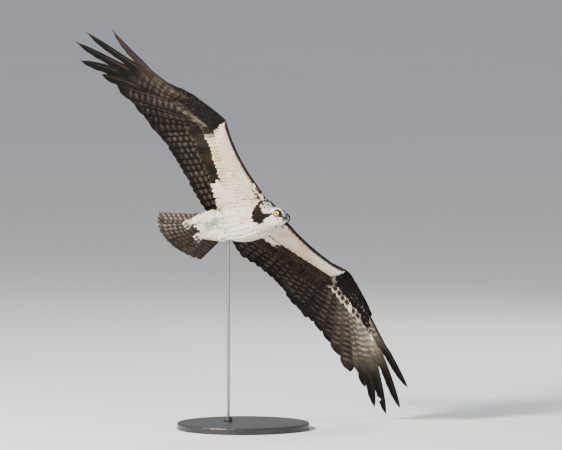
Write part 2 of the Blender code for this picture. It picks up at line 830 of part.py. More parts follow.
def make_tail():
    """The fanned tail and the wedge of coverts that it grows from."""
    face = TORSO_STATIONS[0]
    rings = [body_ring(face[0] - GAP, *face[1:])]
    for share, width, tall in ((0.35, 0.033, 0.018), (0.7, 0.036, 0.011), (1.0, 0.034, 0.005)):
        rings.append(body_ring(face[0] - GAP - TAIL_CORE_LENGTH * share, 0.008, width, tall))
    tail = loft("tail", rings)
    droop = math.tan(math.radians(TAIL_DROOP))

    def height(x, y):
        return 0.011 + (x - TAIL_FACE_X) * droop

    pieces = []
    half = TAIL_FEATHER_WIDTH / 2
    for k in range(TAIL_FEATHERS):
        share = k / (TAIL_FEATHERS - 1)
        angle = math.radians(TAIL_SPREAD[0] + (TAIL_SPREAD[1] - TAIL_SPREAD[0]) * share)
        length = TAIL_LENGTH + TAIL_ROUNDING * math.sin(math.pi * share)
        rank = abs(k - (TAIL_FEATHERS - 1) / 2) * 2
        if k < TAIL_FEATHERS / 2:
            rank += 1
        root = (TAIL_FACE_X - 0.006, TAIL_ROOT_WIDTH * (share - 0.5))
        tip = (TAIL_FACE_X - length * math.cos(angle), length * math.sin(angle))
        rows = (
            (0.0, 0.003, 0.003, 0.0),
            (0.45, half * 0.9, half * 0.9, 0.0),
            (0.92, half, half, 0.0),
            (1.0, half * 0.5, half * 0.5, 0.005),
        )
        lifts = (0.004 - 0.0009 * rank, 0.001 - 0.0005 * rank)
        pieces.append(vane("rectrix", height, 1, root, tip, rows, lifts, (1.0, 1.0)))
    for word, lifts in (("under_covert", (-0.0060, -0.0085)), ("upper_covert", (0.0050, 0.0040))):
        for k in range(TAIL_COVERTS):
            share = (k + 0.5) / TAIL_COVERTS
            angle = math.radians(0.8 * (TAIL_SPREAD[0] + (TAIL_SPREAD[1] - TAIL_SPREAD[0]) * share))
            root = (TAIL_FACE_X - 0.012, 0.030 * (share - 0.5))
            tip = (TAIL_FACE_X - 0.095 * math.cos(angle), 0.095 * math.sin(angle))
            pieces.append(leaf(word, height, 1, root, tip, TAIL_COVERT_HALF_WIDTH, lifts, 0.013))
    return combine(tail, pieces, "UNION")


# The stand


def make_base():
    shape = bmesh.new()
    bmesh.ops.create_cone(
        shape, cap_ends=True, segments=48, radius1=BASE_RADIUS, radius2=BASE_RADIUS, depth=BASE_THICKNESS
    )
    bmesh.ops.translate(shape, vec=(0, 0, BASE_THICKNESS / 2), verts=shape.verts)
    rim = [e for e in shape.edges if all(v.co.z > BASE_THICKNESS * 0.9 for v in e.verts)]
    bmesh.ops.bevel(shape, geom=rim, offset=BASE_BEVEL, segments=2, profile=0.5, affect="EDGES", material=-1)
    base = finish_mesh("stand_base", shape)
    x, y = ROD_PLACE
    top = BASE_THICKNESS + COLLAR_HEIGHT
    collar = tube(
        "collar",
        ((x, y, BASE_THICKNESS / 2), (x, y, BASE_THICKNESS + 0.004), (x, y, top)),
        (COLLAR_RADIUS, COLLAR_RADIUS, COLLAR_RADIUS * 0.75),
        16,
    )
    combine(base, [collar], "UNION")
    hole = tube("hole", ((x, y, top - ROD_INTO_BASE), (x, y, top + 0.01)), (ROD_RADIUS + GAP,) * 2, 16)
    return combine(base, [hole], "DIFFERENCE")


def make_rod():
    x, y = ROD_PLACE
    foot = BASE_THICKNESS + COLLAR_HEIGHT - ROD_INTO_BASE + GAP
    return tube("stand_rod", ((x, y, foot), (x, y, ROD_TOP)), (ROD_RADIUS,) * 2, 16)


def rod_cutter(bird):
    """The hole in the belly that the rod's end stands in, in the bird's own frame."""
    x, y = ROD_PLACE
    hole = tube("rod_hole", ((x, y, 0.40), (x, y, ROD_TOP + GAP)), (ROD_RADIUS + GAP,) * 2, 16)
    hole.data.transform(bird.inverted())
    return hole


# Putting it together


for leftover in list(bpy.data.objects):
    bpy.data.objects.remove(leftover)

bird_matrix = Matrix.Translation((TORSO_SHIFT[0], TORSO_SHIFT[1], TORSO_HEIGHT))
bird_matrix = bird_matrix @ Matrix.Rotation(math.radians(HEADING), 4, "Z")
bird_matrix = bird_matrix @ Matrix.Rotation(math.radians(-PITCH_UP), 4, "Y")
bird_matrix = bird_matrix @ Matrix.Rotation(math.radians(-BANK_LEFT), 4, "X")

bird_frame = bpy.data.objects.new("bird_frame", None)
bpy.context.scene.collection.objects.link(bird_frame)
bird_frame.matrix_world = bird_matrix

white_plumage = make_material("white_plumage", (0.80, 0.76, 0.68), 0.85)
brown_plumage = make_material("brown_plumage", (0.16, 0.12, 0.09), 0.80)
barred_plumage = make_material("barred_plumage", (0.34, 0.29, 0.24), 0.80)
horn = make_material("horn", (0.03, 0.03, 0.035), 0.35)
iris = make_material("iris", (0.85, 0.62, 0.05), 0.15)
toe_skin = make_material("toe_skin", (0.55, 0.56, 0.50), 0.60)
stand_enamel = make_material("stand_enamel", (0.05, 0.05, 0.055), 0.45)
rod_steel = make_material("rod_steel", (0.35, 0.35, 0.36), 0.35)

torso = make_torso(rod_cutter(bird_matrix))
neck = make_neck()

dress(make_base(), "stand_base", stand_enamel, None)
dress(make_rod(), "stand_rod", rod_steel, None)
for word, wing in WINGS.items():
    dress(make_arm("wing_arm_" + word, wing, torso, neck), "wing_arm_" + word, barred_plumage, bird_frame)
    dress(make_hand("wing_hand_" + word, wing), "wing_hand_" + word, brown_plumage, bird_frame)
    dress(make_leg(LEGS[word], torso), "leg_" + word, white_plumage, bird_frame)
    dress(make_foot(LEGS[word]), "foot_" + word, toe_skin, bird_frame)
    dress(make_eye(wing["side"]), "eye_" + word, iris, bird_frame)
dress(make_tail(), "tail", barred_plumage, bird_frame)
dress(make_head(), "head", white_plumage, bird_frame)
dress(make_upper_bill(), "bill_upper", horn, bird_frame)
dress(make_lower_bill(), "bill_lower", horn, bird_frame)
dress(torso, "torso", white_plumage, bird_frame)
dress(neck, "neck", white_plumage, bird_frame)
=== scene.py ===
# Osprey in a banked glide on a display stand: the skin, the feathers in their tiers, the head,
# the feet and the stand. All sizes are metres; angles are degrees.
import itertools
import math
import random

import bmesh
import bpy
from mathutils import Matrix, Vector, noise
from mathutils.bvhtree import BVHTree


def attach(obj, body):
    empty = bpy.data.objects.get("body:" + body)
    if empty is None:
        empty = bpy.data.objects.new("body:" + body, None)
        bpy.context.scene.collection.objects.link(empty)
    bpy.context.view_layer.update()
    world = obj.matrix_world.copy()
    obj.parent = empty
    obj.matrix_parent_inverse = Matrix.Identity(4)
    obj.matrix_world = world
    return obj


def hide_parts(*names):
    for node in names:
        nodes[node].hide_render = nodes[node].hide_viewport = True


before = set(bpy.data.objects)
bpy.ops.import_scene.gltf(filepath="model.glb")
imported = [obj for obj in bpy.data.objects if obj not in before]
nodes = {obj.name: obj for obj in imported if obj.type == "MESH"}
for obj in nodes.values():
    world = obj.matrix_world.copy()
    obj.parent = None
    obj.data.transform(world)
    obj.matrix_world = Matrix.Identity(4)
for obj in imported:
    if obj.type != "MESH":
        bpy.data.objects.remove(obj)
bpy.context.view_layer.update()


# The stand's base: a turned wooden disc with a small raised collar, painted satin black. The
# paint shows a faint turning grain and is rubbed thin in small flecks.


class Finish:
    """A material, with short words for the nodes that colour, roughen and emboss it."""

    def __init__(self, name, **plain):
        self.material = bpy.data.materials.new(name)
        self.material.use_nodes = True
        self.tree = self.material.node_tree
        self.shader = self.tree.nodes["Principled BSDF"]
        for socket, number in plain.items():
            self.shader.inputs[socket.replace("_", " ")].default_value = number

    def add(self, kind, inputs, output=0, **settings):
        """Adds a node, joins or sets its inputs by name or number, and returns one output."""
        made = self.tree.nodes.new(kind)
        for name, value in settings.items():
            setattr(made, name, value)
        for name, value in inputs.items():
            if isinstance(value, bpy.types.NodeSocket):
                self.tree.links.new(value, made.inputs[name])
            else:
                made.inputs[name].default_value = value
        return made.outputs[output]

    def place(self, stretch=(1, 1, 1)):
        """Object coordinates, multiplied along each axis."""
        spot = self.add("ShaderNodeTexCoord", {}, "Object")
        return self.add("ShaderNodeMapping", {"Vector": spot, "Scale": stretch})

    def grain(self, scale, detail=3.0, stretch=(1, 1, 1)):
        """A noise through the object, of values round 0.5."""
        inputs = {"Vector": self.place(stretch), "Scale": scale, "Detail": detail}
        return self.add("ShaderNodeTexNoise", inputs)

    def calc(self, operation, first, second=0.0):
        return self.add("ShaderNodeMath", {0: first, 1: second}, operation=operation)

    def swing(self, value, amount):
        """Turns a noise into a swing of about half the amount to either side of nothing."""
        return self.calc("MULTIPLY", self.calc("SUBTRACT", value, 0.5), amount)

    def ease(self, value, low, high, start=0.0, end=1.0):
        """A soft step from start to end as the value goes from low to high."""
        inputs = {"Value": value, "From Min": low, "From Max": high, "To Min": start, "To Max": end}
        return self.add("ShaderNodeMapRange", inputs, interpolation_type="SMOOTHSTEP")

    def blend(self, amount, first, second):
        """A colour between two, each of which is given or comes from another node."""
        ends = [end if isinstance(end, bpy.types.NodeSocket) else (*end, 1.0) for end in (first, second)]
        return self.add("ShaderNodeMix", {0: amount, 6: ends[0], 7: ends[1]}, 2, data_type="RGBA")

    def read(self, layer):
        """The number that the mesh stores at each point under a name."""
        return self.add("ShaderNodeAttribute", {}, "Fac", attribute_name=layer)

    def drive(self, socket, value):
        self.tree.links.new(value, self.shader.inputs[socket])

    def colour(self, amount, first, second):
        self.drive("Base Color", self.blend(amount, first, second))

    def roughen(self, value, low, high, start, end):
        self.drive("Roughness", self.ease(value, low, high, start, end))

    def emboss(self, height, distance, strength):
        inputs = {"Height": height, "Distance": distance, "Strength": strength}
        self.drive("Normal", self.add("ShaderNodeBump", inputs))


def wear(node_name, finish):
    """Gives a carried-over node its material."""
    materials = nodes[node_name].data.materials
    materials.clear()
    materials.append(finish.material)


base_paint = Finish("satin_black_paint", Roughness=0.42, Coat_Weight=0.12)
turning = base_paint.grain(220.0)
rubbed = base_paint.ease(base_paint.grain(34.0, 6.0), 0.62, 0.74)
base_paint.colour(rubbed, (0.016, 0.016, 0.018), (0.035, 0.034, 0.033))
base_paint.roughen(turning, 0.3, 0.7, 0.36, 0.50)
base_paint.emboss(turning, 0.0002, 0.4)
wear("stand_base", base_paint)


# The rod: drawn steel, brushed lengthwise. It is glued into the base's collar and into the
# bird's belly, and carries the bird.

rod_steel = Finish("brushed_steel", Roughness=0.32, Metallic=1.0)
brushing = rod_steel.grain(1.0, 2.0, (900, 900, 12))
rod_steel.colour(brushing, (0.30, 0.30, 0.31), (0.46, 0.46, 0.47))
rod_steel.roughen(brushing, 0.2, 0.8, 0.26, 0.42)
wear("stand_rod", rod_steel)


# The bird's own axes: x forward, y to its left, z up, with the origin at the middle of the
# torso. Everything below is shaped in these axes and turned into the frame when it is done.

HEADING, PITCH_UP, BANK_LEFT = -49.8, 10.25, 48.3
TORSO_PLACE = (0.0, -0.02, 0.600)
HEAD_CENTRE = (0.157, 0.008, -0.005)
HEAD_ROLL, HEAD_DIP, HEAD_YAW = 28.0, 6.0, -2.0


def turned(place, *turns):
    """A move to a place, then a turn by degrees round each axis named."""
    matrix = Matrix.Translation(place)
    for axis, degrees in turns:
        matrix = matrix @ Matrix.Rotation(math.radians(degrees), 4, axis)
    return matrix


bird = turned(TORSO_PLACE, ("Z", HEADING), ("Y", -PITCH_UP), ("X", -BANK_LEFT))
head_turn = turned(HEAD_CENTRE, ("X", HEAD_ROLL), ("Y", HEAD_DIP), ("Z", HEAD_YAW))
from_head = head_turn.inverted()
EYE = Vector((0.0135, 0.0165, 0.0030))
BILL_ROOT = head_turn @ Vector((0.034, 0.0, -0.004))


def eye_place(side):
    """The middle of the right eye (-1) or the left one (1), in the head's axes."""
    return Vector((EYE.x, side * EYE.y, EYE.z))


def folded(local):
    """A place of the head, folded over to its left half."""
    return Vector((local.x, abs(local.y), local.z))


# The wings' plan, seen from above with y counted outwards from the body: where each wing's
# wrist, edges, planes and primaries lie. The arm and the hand are tilted planes that turn
# smoothly into each other at the wrist.

WINGS = {
    "right": {
        "side": -1,
        "wrist": (0.140, 0.301),
        "arm_plane": (0.142, 0.099, 0.019),
        "hand_plane": (0.180, 0.236, -0.023),
        "hand_edge_heading": -36.5,
        "primary_heading": (-72.9, -67.7, -62.6, -57.5, -55.0, -52.5, -50.3, -44.0, -38.1, -30.0),
        "primary_reach": (0.262, 0.277, 0.300, 0.321, 0.353, 0.406, 0.480, 0.501, 0.478, 0.410),
        "primary_bend": (0, 0, 0, 0, 0, -0.02, -0.05, 0.02, 0.06, 0.18),
        "primary_bow": (0, 0, 0, 0, 0, 0.003, 0.010, 0, 0, -0.008),
        "trailing_edge": (
            (0.362, -0.105), (0.295, -0.099), (0.253, -0.105), (0.193, -0.111), (0.117, -0.123),
            (0.055, -0.126),
        ),
    },
    "left": {
        "side": 1,
        "wrist": (0.139, 0.290),
        "arm_plane": (0.134, 0.040, 0.023),
        "hand_plane": (0.146, -0.125, 0.081),
        "hand_edge_heading": -8.0,
        "primary_heading": (-62.1, -53.9, -46.1, -40.0, -34.1, -27.8, -25.2, -21.4, -14.8, -7.2),
        "primary_reach": (0.258, 0.272, 0.295, 0.328, 0.376, 0.422, 0.491, 0.514, 0.489, 0.419),
        "primary_bend": (0, 0, 0, 0, 0, 0.01, 0.02, 0.03, 0.04, 0.05),
        "primary_bow": (0, 0, 0, 0, 0, 0.004, 0.005, 0.005, 0.004, 0),
        "trailing_edge": (
            (0.394, -0.107), (0.337, -0.111), (0.304, -0.101), (0.252, -0.100), (0.206, -0.111),
            (0.130, -0.137), (0.055, -0.122),
        ),
    },
}
ARM_CAMBER, CAMBERED_CHORD = 0.006, 0.24
CORE_EDGE_DIP = 0.017
SHOULDER_EDGE = (0.106, 0.045)
ARM_START, ARM_END_GAP = 0.040, 0.004
TERTIAL_START = 0.052
WRIST_EDGE_LEAD = 0.008
WRIST_BLEND = 0.05
HAND_BULGE, HAND_BULGE_REACH = 0.006, 0.20
QUILL_SPACING, QUILL_ROOT_DEPTH = 0.0095, 0.012


def clamp(share):
    return min(max(share, 0.0), 1.0)


def smooth(share):
    share = clamp(share)
    return share * share * (3 - 2 * share)


def along_table(table, y):
    """Reads a value between the points of a short table of (y, value), outermost first."""
    for (outer, first), (inner, second) in zip(table, table[1:]):
        if y >= inner:
            break
    return first + (second - first) * smooth((outer - y) / (outer - inner))


def heading_vector(degrees):
    """A direction in plan, counted from straight outwards and positive forwards."""
    angle = math.radians(degrees)
    return Vector((math.sin(angle), math.cos(angle)))


def rear_of(way):
    """The direction in plan a quarter turn behind one that runs outwards."""
    return Vector((-way.y, way.x))


def wrist_edge(wing):
    return wing["wrist"][0] + WRIST_EDGE_LEAD, wing["wrist"][1]


def leading_edge(wing, y):
    x0, y0 = SHOULDER_EDGE
    x1, y1 = wrist_edge(wing)
    share = clamp((y - y0) / (y1 - y0))
    return x0 + (x1 - x0) * share - CORE_EDGE_DIP * 4 * share * (1 - share)


def rear_line(wing, y):
    """The rear edge of the arm's flesh, at a distance out along the wing."""
    wx, wy = wing["wrist"]
    body, elbow, wrist = Vector((-0.030, 0.030)), Vector((0.030, 0.165)), Vector((wx - 0.050, wy + 0.004))
    if y <= elbow.y:
        return body.lerp(elbow, (y - body.y) / (elbow.y - body.y))
    return elbow.lerp(wrist, min((y - elbow.y) / (wrist.y - elbow.y), 1.0))


def rear_tip(wing, share):
    """A point of the trailing edge, from the body outwards."""
    table = wing["trailing_edge"]
    y = TERTIAL_START + (table[0][0] - TERTIAL_START) * share
    return Vector((along_table(table, y), y))


def arm_point(wing, share, depth):
    """Depth 0 is the leading edge, 1 the rear of the flesh and 2 the trailing edge."""
    y = ARM_START + (wing["wrist"][1] - ARM_END_GAP - ARM_START) * share
    rear = rear_line(wing, y)
    if depth <= 1:
        return Vector((leading_edge(wing, y), y)).lerp(rear, depth)
    return rear.lerp(rear_tip(wing, share), depth - 1)


def hand_edge(wing, reach):
    """A point of the hand's leading edge, which bulges forward a little."""
    way = heading_vector(wing["hand_edge_heading"])
    bulge = HAND_BULGE * math.sin(math.pi * clamp(reach / HAND_BULGE_REACH))
    return Vector(wrist_edge(wing)) + way * reach - rear_of(way) * bulge


def hand_place(wing, spot):
    """How far a point of the plan lies along the hand's edge, and how far behind it."""
    way = heading_vector(wing["hand_edge_heading"])
    offset = spot - Vector(wrist_edge(wing))
    return offset.dot(way), offset.dot(rear_of(way))


def primary_ends(wing, k):
    """Root and tip of primary k, counted from 0 at the wrist; a share between two is allowed."""
    low = min(int(k), 8)
    behind = rear_of(heading_vector(wing["hand_edge_heading"]))
    ends = []
    for number in (low, low + 1):
        root = hand_edge(wing, 0.012 + QUILL_SPACING * number) + behind * QUILL_ROOT_DEPTH
        reach = wing["primary_reach"][number]
        ends.append((root, Vector(wing["wrist"]) + heading_vector(wing["primary_heading"][number]) * reach))
    return ends[0][0].lerp(ends[1][0], k - low), ends[0][1].lerp(ends[1][1], k - low)


def plane_height(wing):
    """The height of the wing's middle surface over its plan."""
    wx, wy = wing["wrist"]
    sy, sx = wing["trailing_edge"][0]
    reach = math.hypot(sx - wx, sy - wy)

    def height(spot):
        x, y = spot
        beyond = ((x - wx) * (sy - wy) - (y - wy) * (sx - wx)) / reach
        chord = clamp((leading_edge(wing, y) - x) / CAMBERED_CHORD)
        a, b, c = wing["arm_plane"]
        arm = a * x + b * y + c + ARM_CAMBER * 4 * chord * (1 - chord)
        a, b, c = wing["hand_plane"]
        return arm + (a * x + b * y + c - arm) * smooth(0.5 + beyond / WRIST_BLEND)

    return height


# The flesh under the feathers: torso, neck, head and legs in one skin with both wings' arms
# and hands, so that no seam shows. It is pale skin, coloured as the plumage over it.

# Each station of the arm: how far out along the wing, and how thick
ARM_STATIONS = (
    (0.020, 0.032), (0.045, 0.029), (0.075, 0.026), (0.120, 0.022), (0.165, 0.019), (0.210, 0.017),
    (0.255, 0.015), (0.292, 0.014),
)
# Each station of the hand: how far along its edge, how far it runs back, and how thick
HAND_STATIONS = (
    (0.020, 0.070, 0.013), (0.055, 0.052, 0.011), (0.090, 0.034, 0.009), (0.125, 0.022, 0.007),
    (0.160, 0.010, 0.004),
)
HAND_BACK_TURN = 78
RING_POINTS = 16
EDGE_ROUNDING = 0.0009


def loft(shape, rings):
    """Runs a closed skin through rings of points, each a circle whose points are moved."""
    loops = []
    for number, ring in enumerate(rings):
        ends = number in (0, len(rings) - 1)
        made = bmesh.ops.create_circle(shape, cap_ends=ends, segments=len(ring), radius=1.0)["verts"]
        for vert, point in zip(made, ring):
            vert.co = point
        loops.append(list({edge for vert in made for edge in vert.link_edges}))
    for near, far in zip(loops, loops[1:]):
        bmesh.ops.bridge_loops(shape, edges=near + far)


def cast(shape, name):
    """Makes a mesh of a finished bmesh."""
    mesh = bpy.data.meshes.new(name)
    shape.to_mesh(mesh)
    shape.free()
    return mesh


def show(name, data):
    """Puts a new object into the scene."""
    thing = bpy.data.objects.new(name, data)
    bpy.context.scene.collection.objects.link(thing)
    return thing


def wing_ring(wing, height, lead, rear, thick):
    """The outline of one station, thick near the leading edge and thin behind."""
    ring = []
    for k in range(RING_POINTS):
        angle = 2 * math.pi * k / RING_POINTS
        share = (1 - math.cos(angle)) / 2
        belly = math.sin(angle) * (1 - 0.62 * share ** 1.2) * 1.25
        spot = lead.lerp(rear, share)
        edge = EDGE_ROUNDING * math.copysign(min(abs(math.sin(angle)) * 4, 1.0), math.sin(angle))
        ring.append(Vector((spot.x, wing["side"] * spot.y, height(spot) + thick / 2 * belly + edge)))
    return ring


def wing_flesh(wing):
    """The arm and the hand as one closed form."""
    height = plane_height(wing)
    rings = []
    for y, thick in ARM_STATIONS:
        rings.append(wing_ring(wing, height, Vector((leading_edge(wing, y), y)), rear_line(wing, y), thick))
    behind = heading_vector(wing["hand_edge_heading"] - HAND_BACK_TURN)
    for reach, depth, thick in HAND_STATIONS:
        lead = hand_edge(wing, reach)
        rings.append(wing_ring(wing, height, lead, lead + behind * depth, thick))
    shape = bmesh.new()
    loft(shape, rings)
    bmesh.ops.recalc_face_normals(shape, faces=shape.faces)
    return shape


flesh = bmesh.new()
for name in ("torso", "neck", "head", "leg_right", "leg_left"):
    flesh.from_mesh(nodes[name].data)
bmesh.ops.remove_doubles(flesh, verts=flesh.verts, dist=0.00002)
bmesh.ops.transform(flesh, matrix=bird.inverted(), verts=flesh.verts)
wing_trees = {}
for word, wing in WINGS.items():
    shape = wing_flesh(wing)
    wing_trees[word] = BVHTree.FromBMesh(shape)
    flesh.from_mesh(cast(shape, "wing_flesh"))

SKIN_VOXEL = 0.0016
form = show("flesh", cast(flesh, "flesh"))
remesh = form.modifiers.new("Remesh", "REMESH")
remesh.mode = "VOXEL"
remesh.voxel_size = SKIN_VOXEL
soften = form.modifiers.new("Smooth", "SMOOTH")
soften.factor = 0.5
soften.iterations = 5
thin_out = form.modifiers.new("Decimate", "DECIMATE")
thin_out.ratio = 0.45
graph = bpy.context.evaluated_depsgraph_get()
skin_mesh = bpy.data.meshes.new_from_object(form.evaluated_get(graph))
bpy.data.objects.remove(form)

# How far the skin is sunk under the feathers: on the body, and on the wings
COAT_DEPTH, WING_COAT_DEPTH = 0.0016, 0.0005
WING_FROM = 0.075
BARE_ROUND_EYE = 0.010
for vertex, normal in zip(skin_mesh.vertices, [v.normal.copy() for v in skin_mesh.vertices]):
    place = vertex.co
    near_eye = min((from_head @ place - eye_place(side)).length for side in (-1, 1))
    depth = COAT_DEPTH * smooth((near_eye - BARE_ROUND_EYE) / 0.006)
    if abs(place.y) > WING_FROM:
        depth = WING_COAT_DEPTH
    vertex.co = place - normal * depth
skin_faces = [polygon.vertices[:] for polygon in skin_mesh.polygons]
skin_tree = BVHTree.FromPolygons([vertex.co for vertex in skin_mesh.vertices], skin_faces)


# The markings of head, neck and body, which the skin and the small feathers share: white with a
# dark stripe from the eye down the side of the neck, dark lores and forecrown, and a brown back.

# The stripe on the neck's side, in the head's axes: x, degrees down from the crown, half width
NECK_STRIPE = (
    (-0.004, 92, 0.0040), (-0.018, 97, 0.0078), (-0.032, 103, 0.0105), (-0.043, 104, 0.0135),
    (-0.048, 84, 0.0085), (-0.051, 62, 0.0042), (-0.054, 38, 0.0036), (-0.055, 10, 0.0045),
)
STRIPE_DROP = ((-0.043, 106, 0.0100), (-0.040, 130, 0.0040))
STRIPE_RADIUS = 0.035
RIM_REACH = 0.0112
# Marks of the face in the head's axes: one end, other end, half width, the same on both sides
FACE_MARKS = (
    (Vector((0.018, 0.021, 0.000)), Vector((0.031, 0.010, -0.002)), 0.0060),
    (Vector((0.019, 0.021, 0.011)), Vector((0.029, 0.012, 0.003)), 0.0036),
    (Vector((-0.057, 0.004, 0.043)), Vector((-0.036, 0.000, 0.034)), 0.0062),
    (Vector((-0.043, 0.016, 0.033)), Vector((-0.039, 0.018, 0.030)), 0.0026),
    (Vector((0.019, 0.0165, -0.0135)), Vector((0.0185, 0.0165, -0.0130)), 0.0028),
    (Vector((0.010, 0.000, 0.0220)), Vector((0.0275, 0.000, 0.0125)), 0.0052),
)


def from_segment(spot, first, last):
    """Distance from a segment, and how far along it the nearest point is."""
    line = last - first
    share = clamp((spot - first).dot(line) / max(line.length_squared, 1e-12))
    return (spot - first - line * share).length, share


def head_marks(place):
    """How dark the stripes, face marks, eye rims and crown streaks are at a place."""
    local = from_head @ place
    half = folded(local)
    wander = noise.noise(place * 160) * 0.0022 + noise.noise(place * 420) * 0.0012
    dark = 0.0
    angle = math.atan2(half.y, half.z)
    flat = Vector((half.x, angle * STRIPE_RADIUS, 0))
    for stripe in (NECK_STRIPE, STRIPE_DROP):
        for (x0, a0, r0), (x1, a1, r1) in zip(stripe, stripe[1:]):
            first = Vector((x0, math.radians(a0) * STRIPE_RADIUS, 0))
            last = Vector((x1, math.radians(a1) * STRIPE_RADIUS, 0))
            gap, share = from_segment(flat, first, last)
            dark = max(dark, smooth((r0 + (r1 - r0) * share - gap + wander) / 0.0022 + 0.5))
    for first, last, radius in FACE_MARKS:
        gap, share = from_segment(half, first, last)
        dark = max(dark, 0.88 * smooth((radius - gap + wander * 0.5) / 0.0014 + 0.5))
    dark = max(dark, 1.0 - smooth(((half - EYE).length - RIM_REACH) / 0.0012))
    if local.x < -0.012 and angle < 1.0:
        streak = noise.noise(Vector((half.x * 90, local.y * 330, 3.0)))
        dark = max(dark, 0.8 * smooth((streak - 0.28) / 0.12) * smooth((-0.012 - local.x) / 0.02))
    return dark


# Where the white gives way to the dark band under each arm: (y, x), outermost first. The left arm's line lies
# further forward than the right's; its wider dark band is partly the dark coverts and partly painted shade on
# the left lining.
WHITE_LINE = {
    -1: ((0.3125, 0.075), (0.180, 0.019), (0.094, -0.050)),
    1: ((0.3125, 0.082), (0.190, 0.044), (0.105, 0.000), (0.060, -0.030)),
}


def wing_marks(place):
    """How dark the wing's flesh is, so that it doesn't show between the feathers on it."""
    wing = WINGS["left" if place.y > 0 else "right"]
    plan = Vector((place.x, abs(place.y)))
    if place.z > plane_height(wing)(plan):
        return 0.88
    reach, depth = hand_place(wing, plan)
    if reach > 0:
        return 0.95 if depth < 0.045 else 0.14
    return 0.05 if plan.x > along_table(WHITE_LINE[wing["side"]], plan.y) else 0.85


# Where the body's own markings end: outwards at the wings, forwards at the head
BODY_HALF, HEAD_FROM = 0.062, 0.085
# How dark the back, the white parts and the streaks on them are
BACK_DARK, CREAM, STREAK_DARK = 0.77, 0.04, 0.13
BREAST_BAND_X, BREAST_BAND_HALF = 0.070, 0.030


def markings(place):
    """How dark and how warm the plumage is at a point of the body."""
    if abs(place.y) > BODY_HALF and place.x > -0.06:
        return wing_marks(place), 0.0
    streak = noise.noise(Vector((place.x * 26, place.y * 75, place.z * 75)) + Vector((7, 2, 4)))
    streak = STREAK_DARK * smooth(streak * 2.2 - 0.25) * (place.x < HEAD_FROM)
    dark = CREAM + 0.03 * noise.noise(place * 60) + streak
    if place.x > HEAD_FROM:
        dark = max(dark, head_marks(place))
    wander = noise.noise(place * 70) * 0.006
    back_line = 0.0095 + 0.0132 * smooth((place.x + 0.095) / 0.10)
    back = smooth((place.z - back_line + wander) / 0.008 + 0.5)
    back *= smooth((0.100 - place.x + wander * 1.4) / 0.012)
    dark = max(dark, BACK_DARK * back)
    warm = 0.10 + smooth(noise.noise(place * 38 + Vector((5, 1, 0))) * 1.6 - 0.05) * 0.30
    breast = math.exp(-((place.x - BREAST_BAND_X) / BREAST_BAND_HALF) ** 2)
    warm += breast * smooth(noise.noise(place * 120) * 2.0 + 0.1) * 0.35
    return dark, warm


def paint(mesh, spots):
    """Stores the markings as point attributes; spots are places in the bird's axes."""
    tones = [markings(spot) for spot in spots]
    for number, name in enumerate(("dark", "warm")):
        layer = mesh.attributes.new(name, "FLOAT", "POINT")
        layer.data.foreach_set("value", [tone[number] for tone in tones])


# The plumage's colours, from white to the blackest brown, each at how dark it stands for
PLUMAGE_SHADES = (
    (0.00, (0.86, 0.83, 0.76)),
    (0.18, (0.58, 0.53, 0.45)),
    (0.38, (0.255, 0.220, 0.178)),
    (0.62, (0.064, 0.053, 0.042)),
    (0.85, (0.017, 0.0125, 0.0100)),
    (1.00, (0.0036, 0.0030, 0.0032)),
)
STAIN = (0.52, 0.34, 0.16)
BARBS_PER_METRE = 1100.0
BAR_SPACING = 0.0195


def shade_ramp(finish, dark):
    """The plumage's colour for how dark it is."""
    ramp = finish.tree.nodes.new("ShaderNodeValToRGB")
    stops = ramp.color_ramp.elements
    for stop, (position, colour) in zip(stops, (PLUMAGE_SHADES[0], PLUMAGE_SHADES[-1])):
        stop.position, stop.color = position, (*colour, 1)
    for position, colour in PLUMAGE_SHADES[1:-1]:
        stops.new(position).color = (*colour, 1)
    finish.tree.links.new(dark, ramp.inputs["Fac"])
    return ramp.outputs["Color"]


def plumage(name, scale, barred=False, barbed=True):
    """Feather colour from how dark and warm each place is, with fine barbs in relief."""
    down = Finish(name, Roughness=0.74, Sheen_Weight=0.004, Sheen_Roughness=0.5, Specular_IOR_Level=0.06)
    if barbed:
        turns = down.calc("MULTIPLY", down.read("barb"), BARBS_PER_METRE)
        inputs = {"W": turns, "Scale": 1.0, "Detail": 2.0}
        barbs = down.add("ShaderNodeTexNoise", inputs, noise_dimensions="1D")
    else:
        barbs = down.grain(900.0, 2.0)
    dark = down.calc("ADD", down.read("dark"), down.swing(down.grain(scale, 4.0), 0.22))
    dark = down.calc("ADD", dark, down.swing(barbs, 0.10))
    if barred:
        reach = down.calc("ADD", down.read("reach"), down.swing(down.grain(90.0), 0.010))
        turns = down.calc("MULTIPLY", reach, 2 * math.pi / BAR_SPACING)
        wave = down.ease(down.calc("SINE", turns), -0.20, 0.60)
        dark = down.calc("SUBTRACT", dark, down.calc("MULTIPLY", wave, down.read("bar")))
    stain = down.calc("MULTIPLY", down.read("warm"), down.ease(dark, 0.25, 0.70, 1.0, 0.06))
    down.colour(stain, shade_ramp(down, dark), STAIN)
    down.emboss(barbs, 0.0003, 0.5)
    return down


def place_mesh(mesh, name, finish):
    """Makes a piece that rides on the root body from a mesh in the frame."""
    mesh.shade_smooth()
    mesh.materials.append(finish.material)
    piece = show(name, mesh)
    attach(piece, "root")
    return piece


skin_finish = plumage("feathered_skin", 260.0, barbed=False)
paint(skin_mesh, [v.co.copy() for v in skin_mesh.vertices])
skin_mesh_bird = skin_mesh.copy()
skin_mesh.transform(bird)
skin = place_mesh(skin_mesh, "skin", skin_finish)
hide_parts("torso", "neck", "head", "leg_right", "leg_left")


# The eyes: glass balls painted behind, with a yellow iris, a small black pupil and a black rim,
# set in the sockets and turned a little forward. A thin black lid closes over the edge.

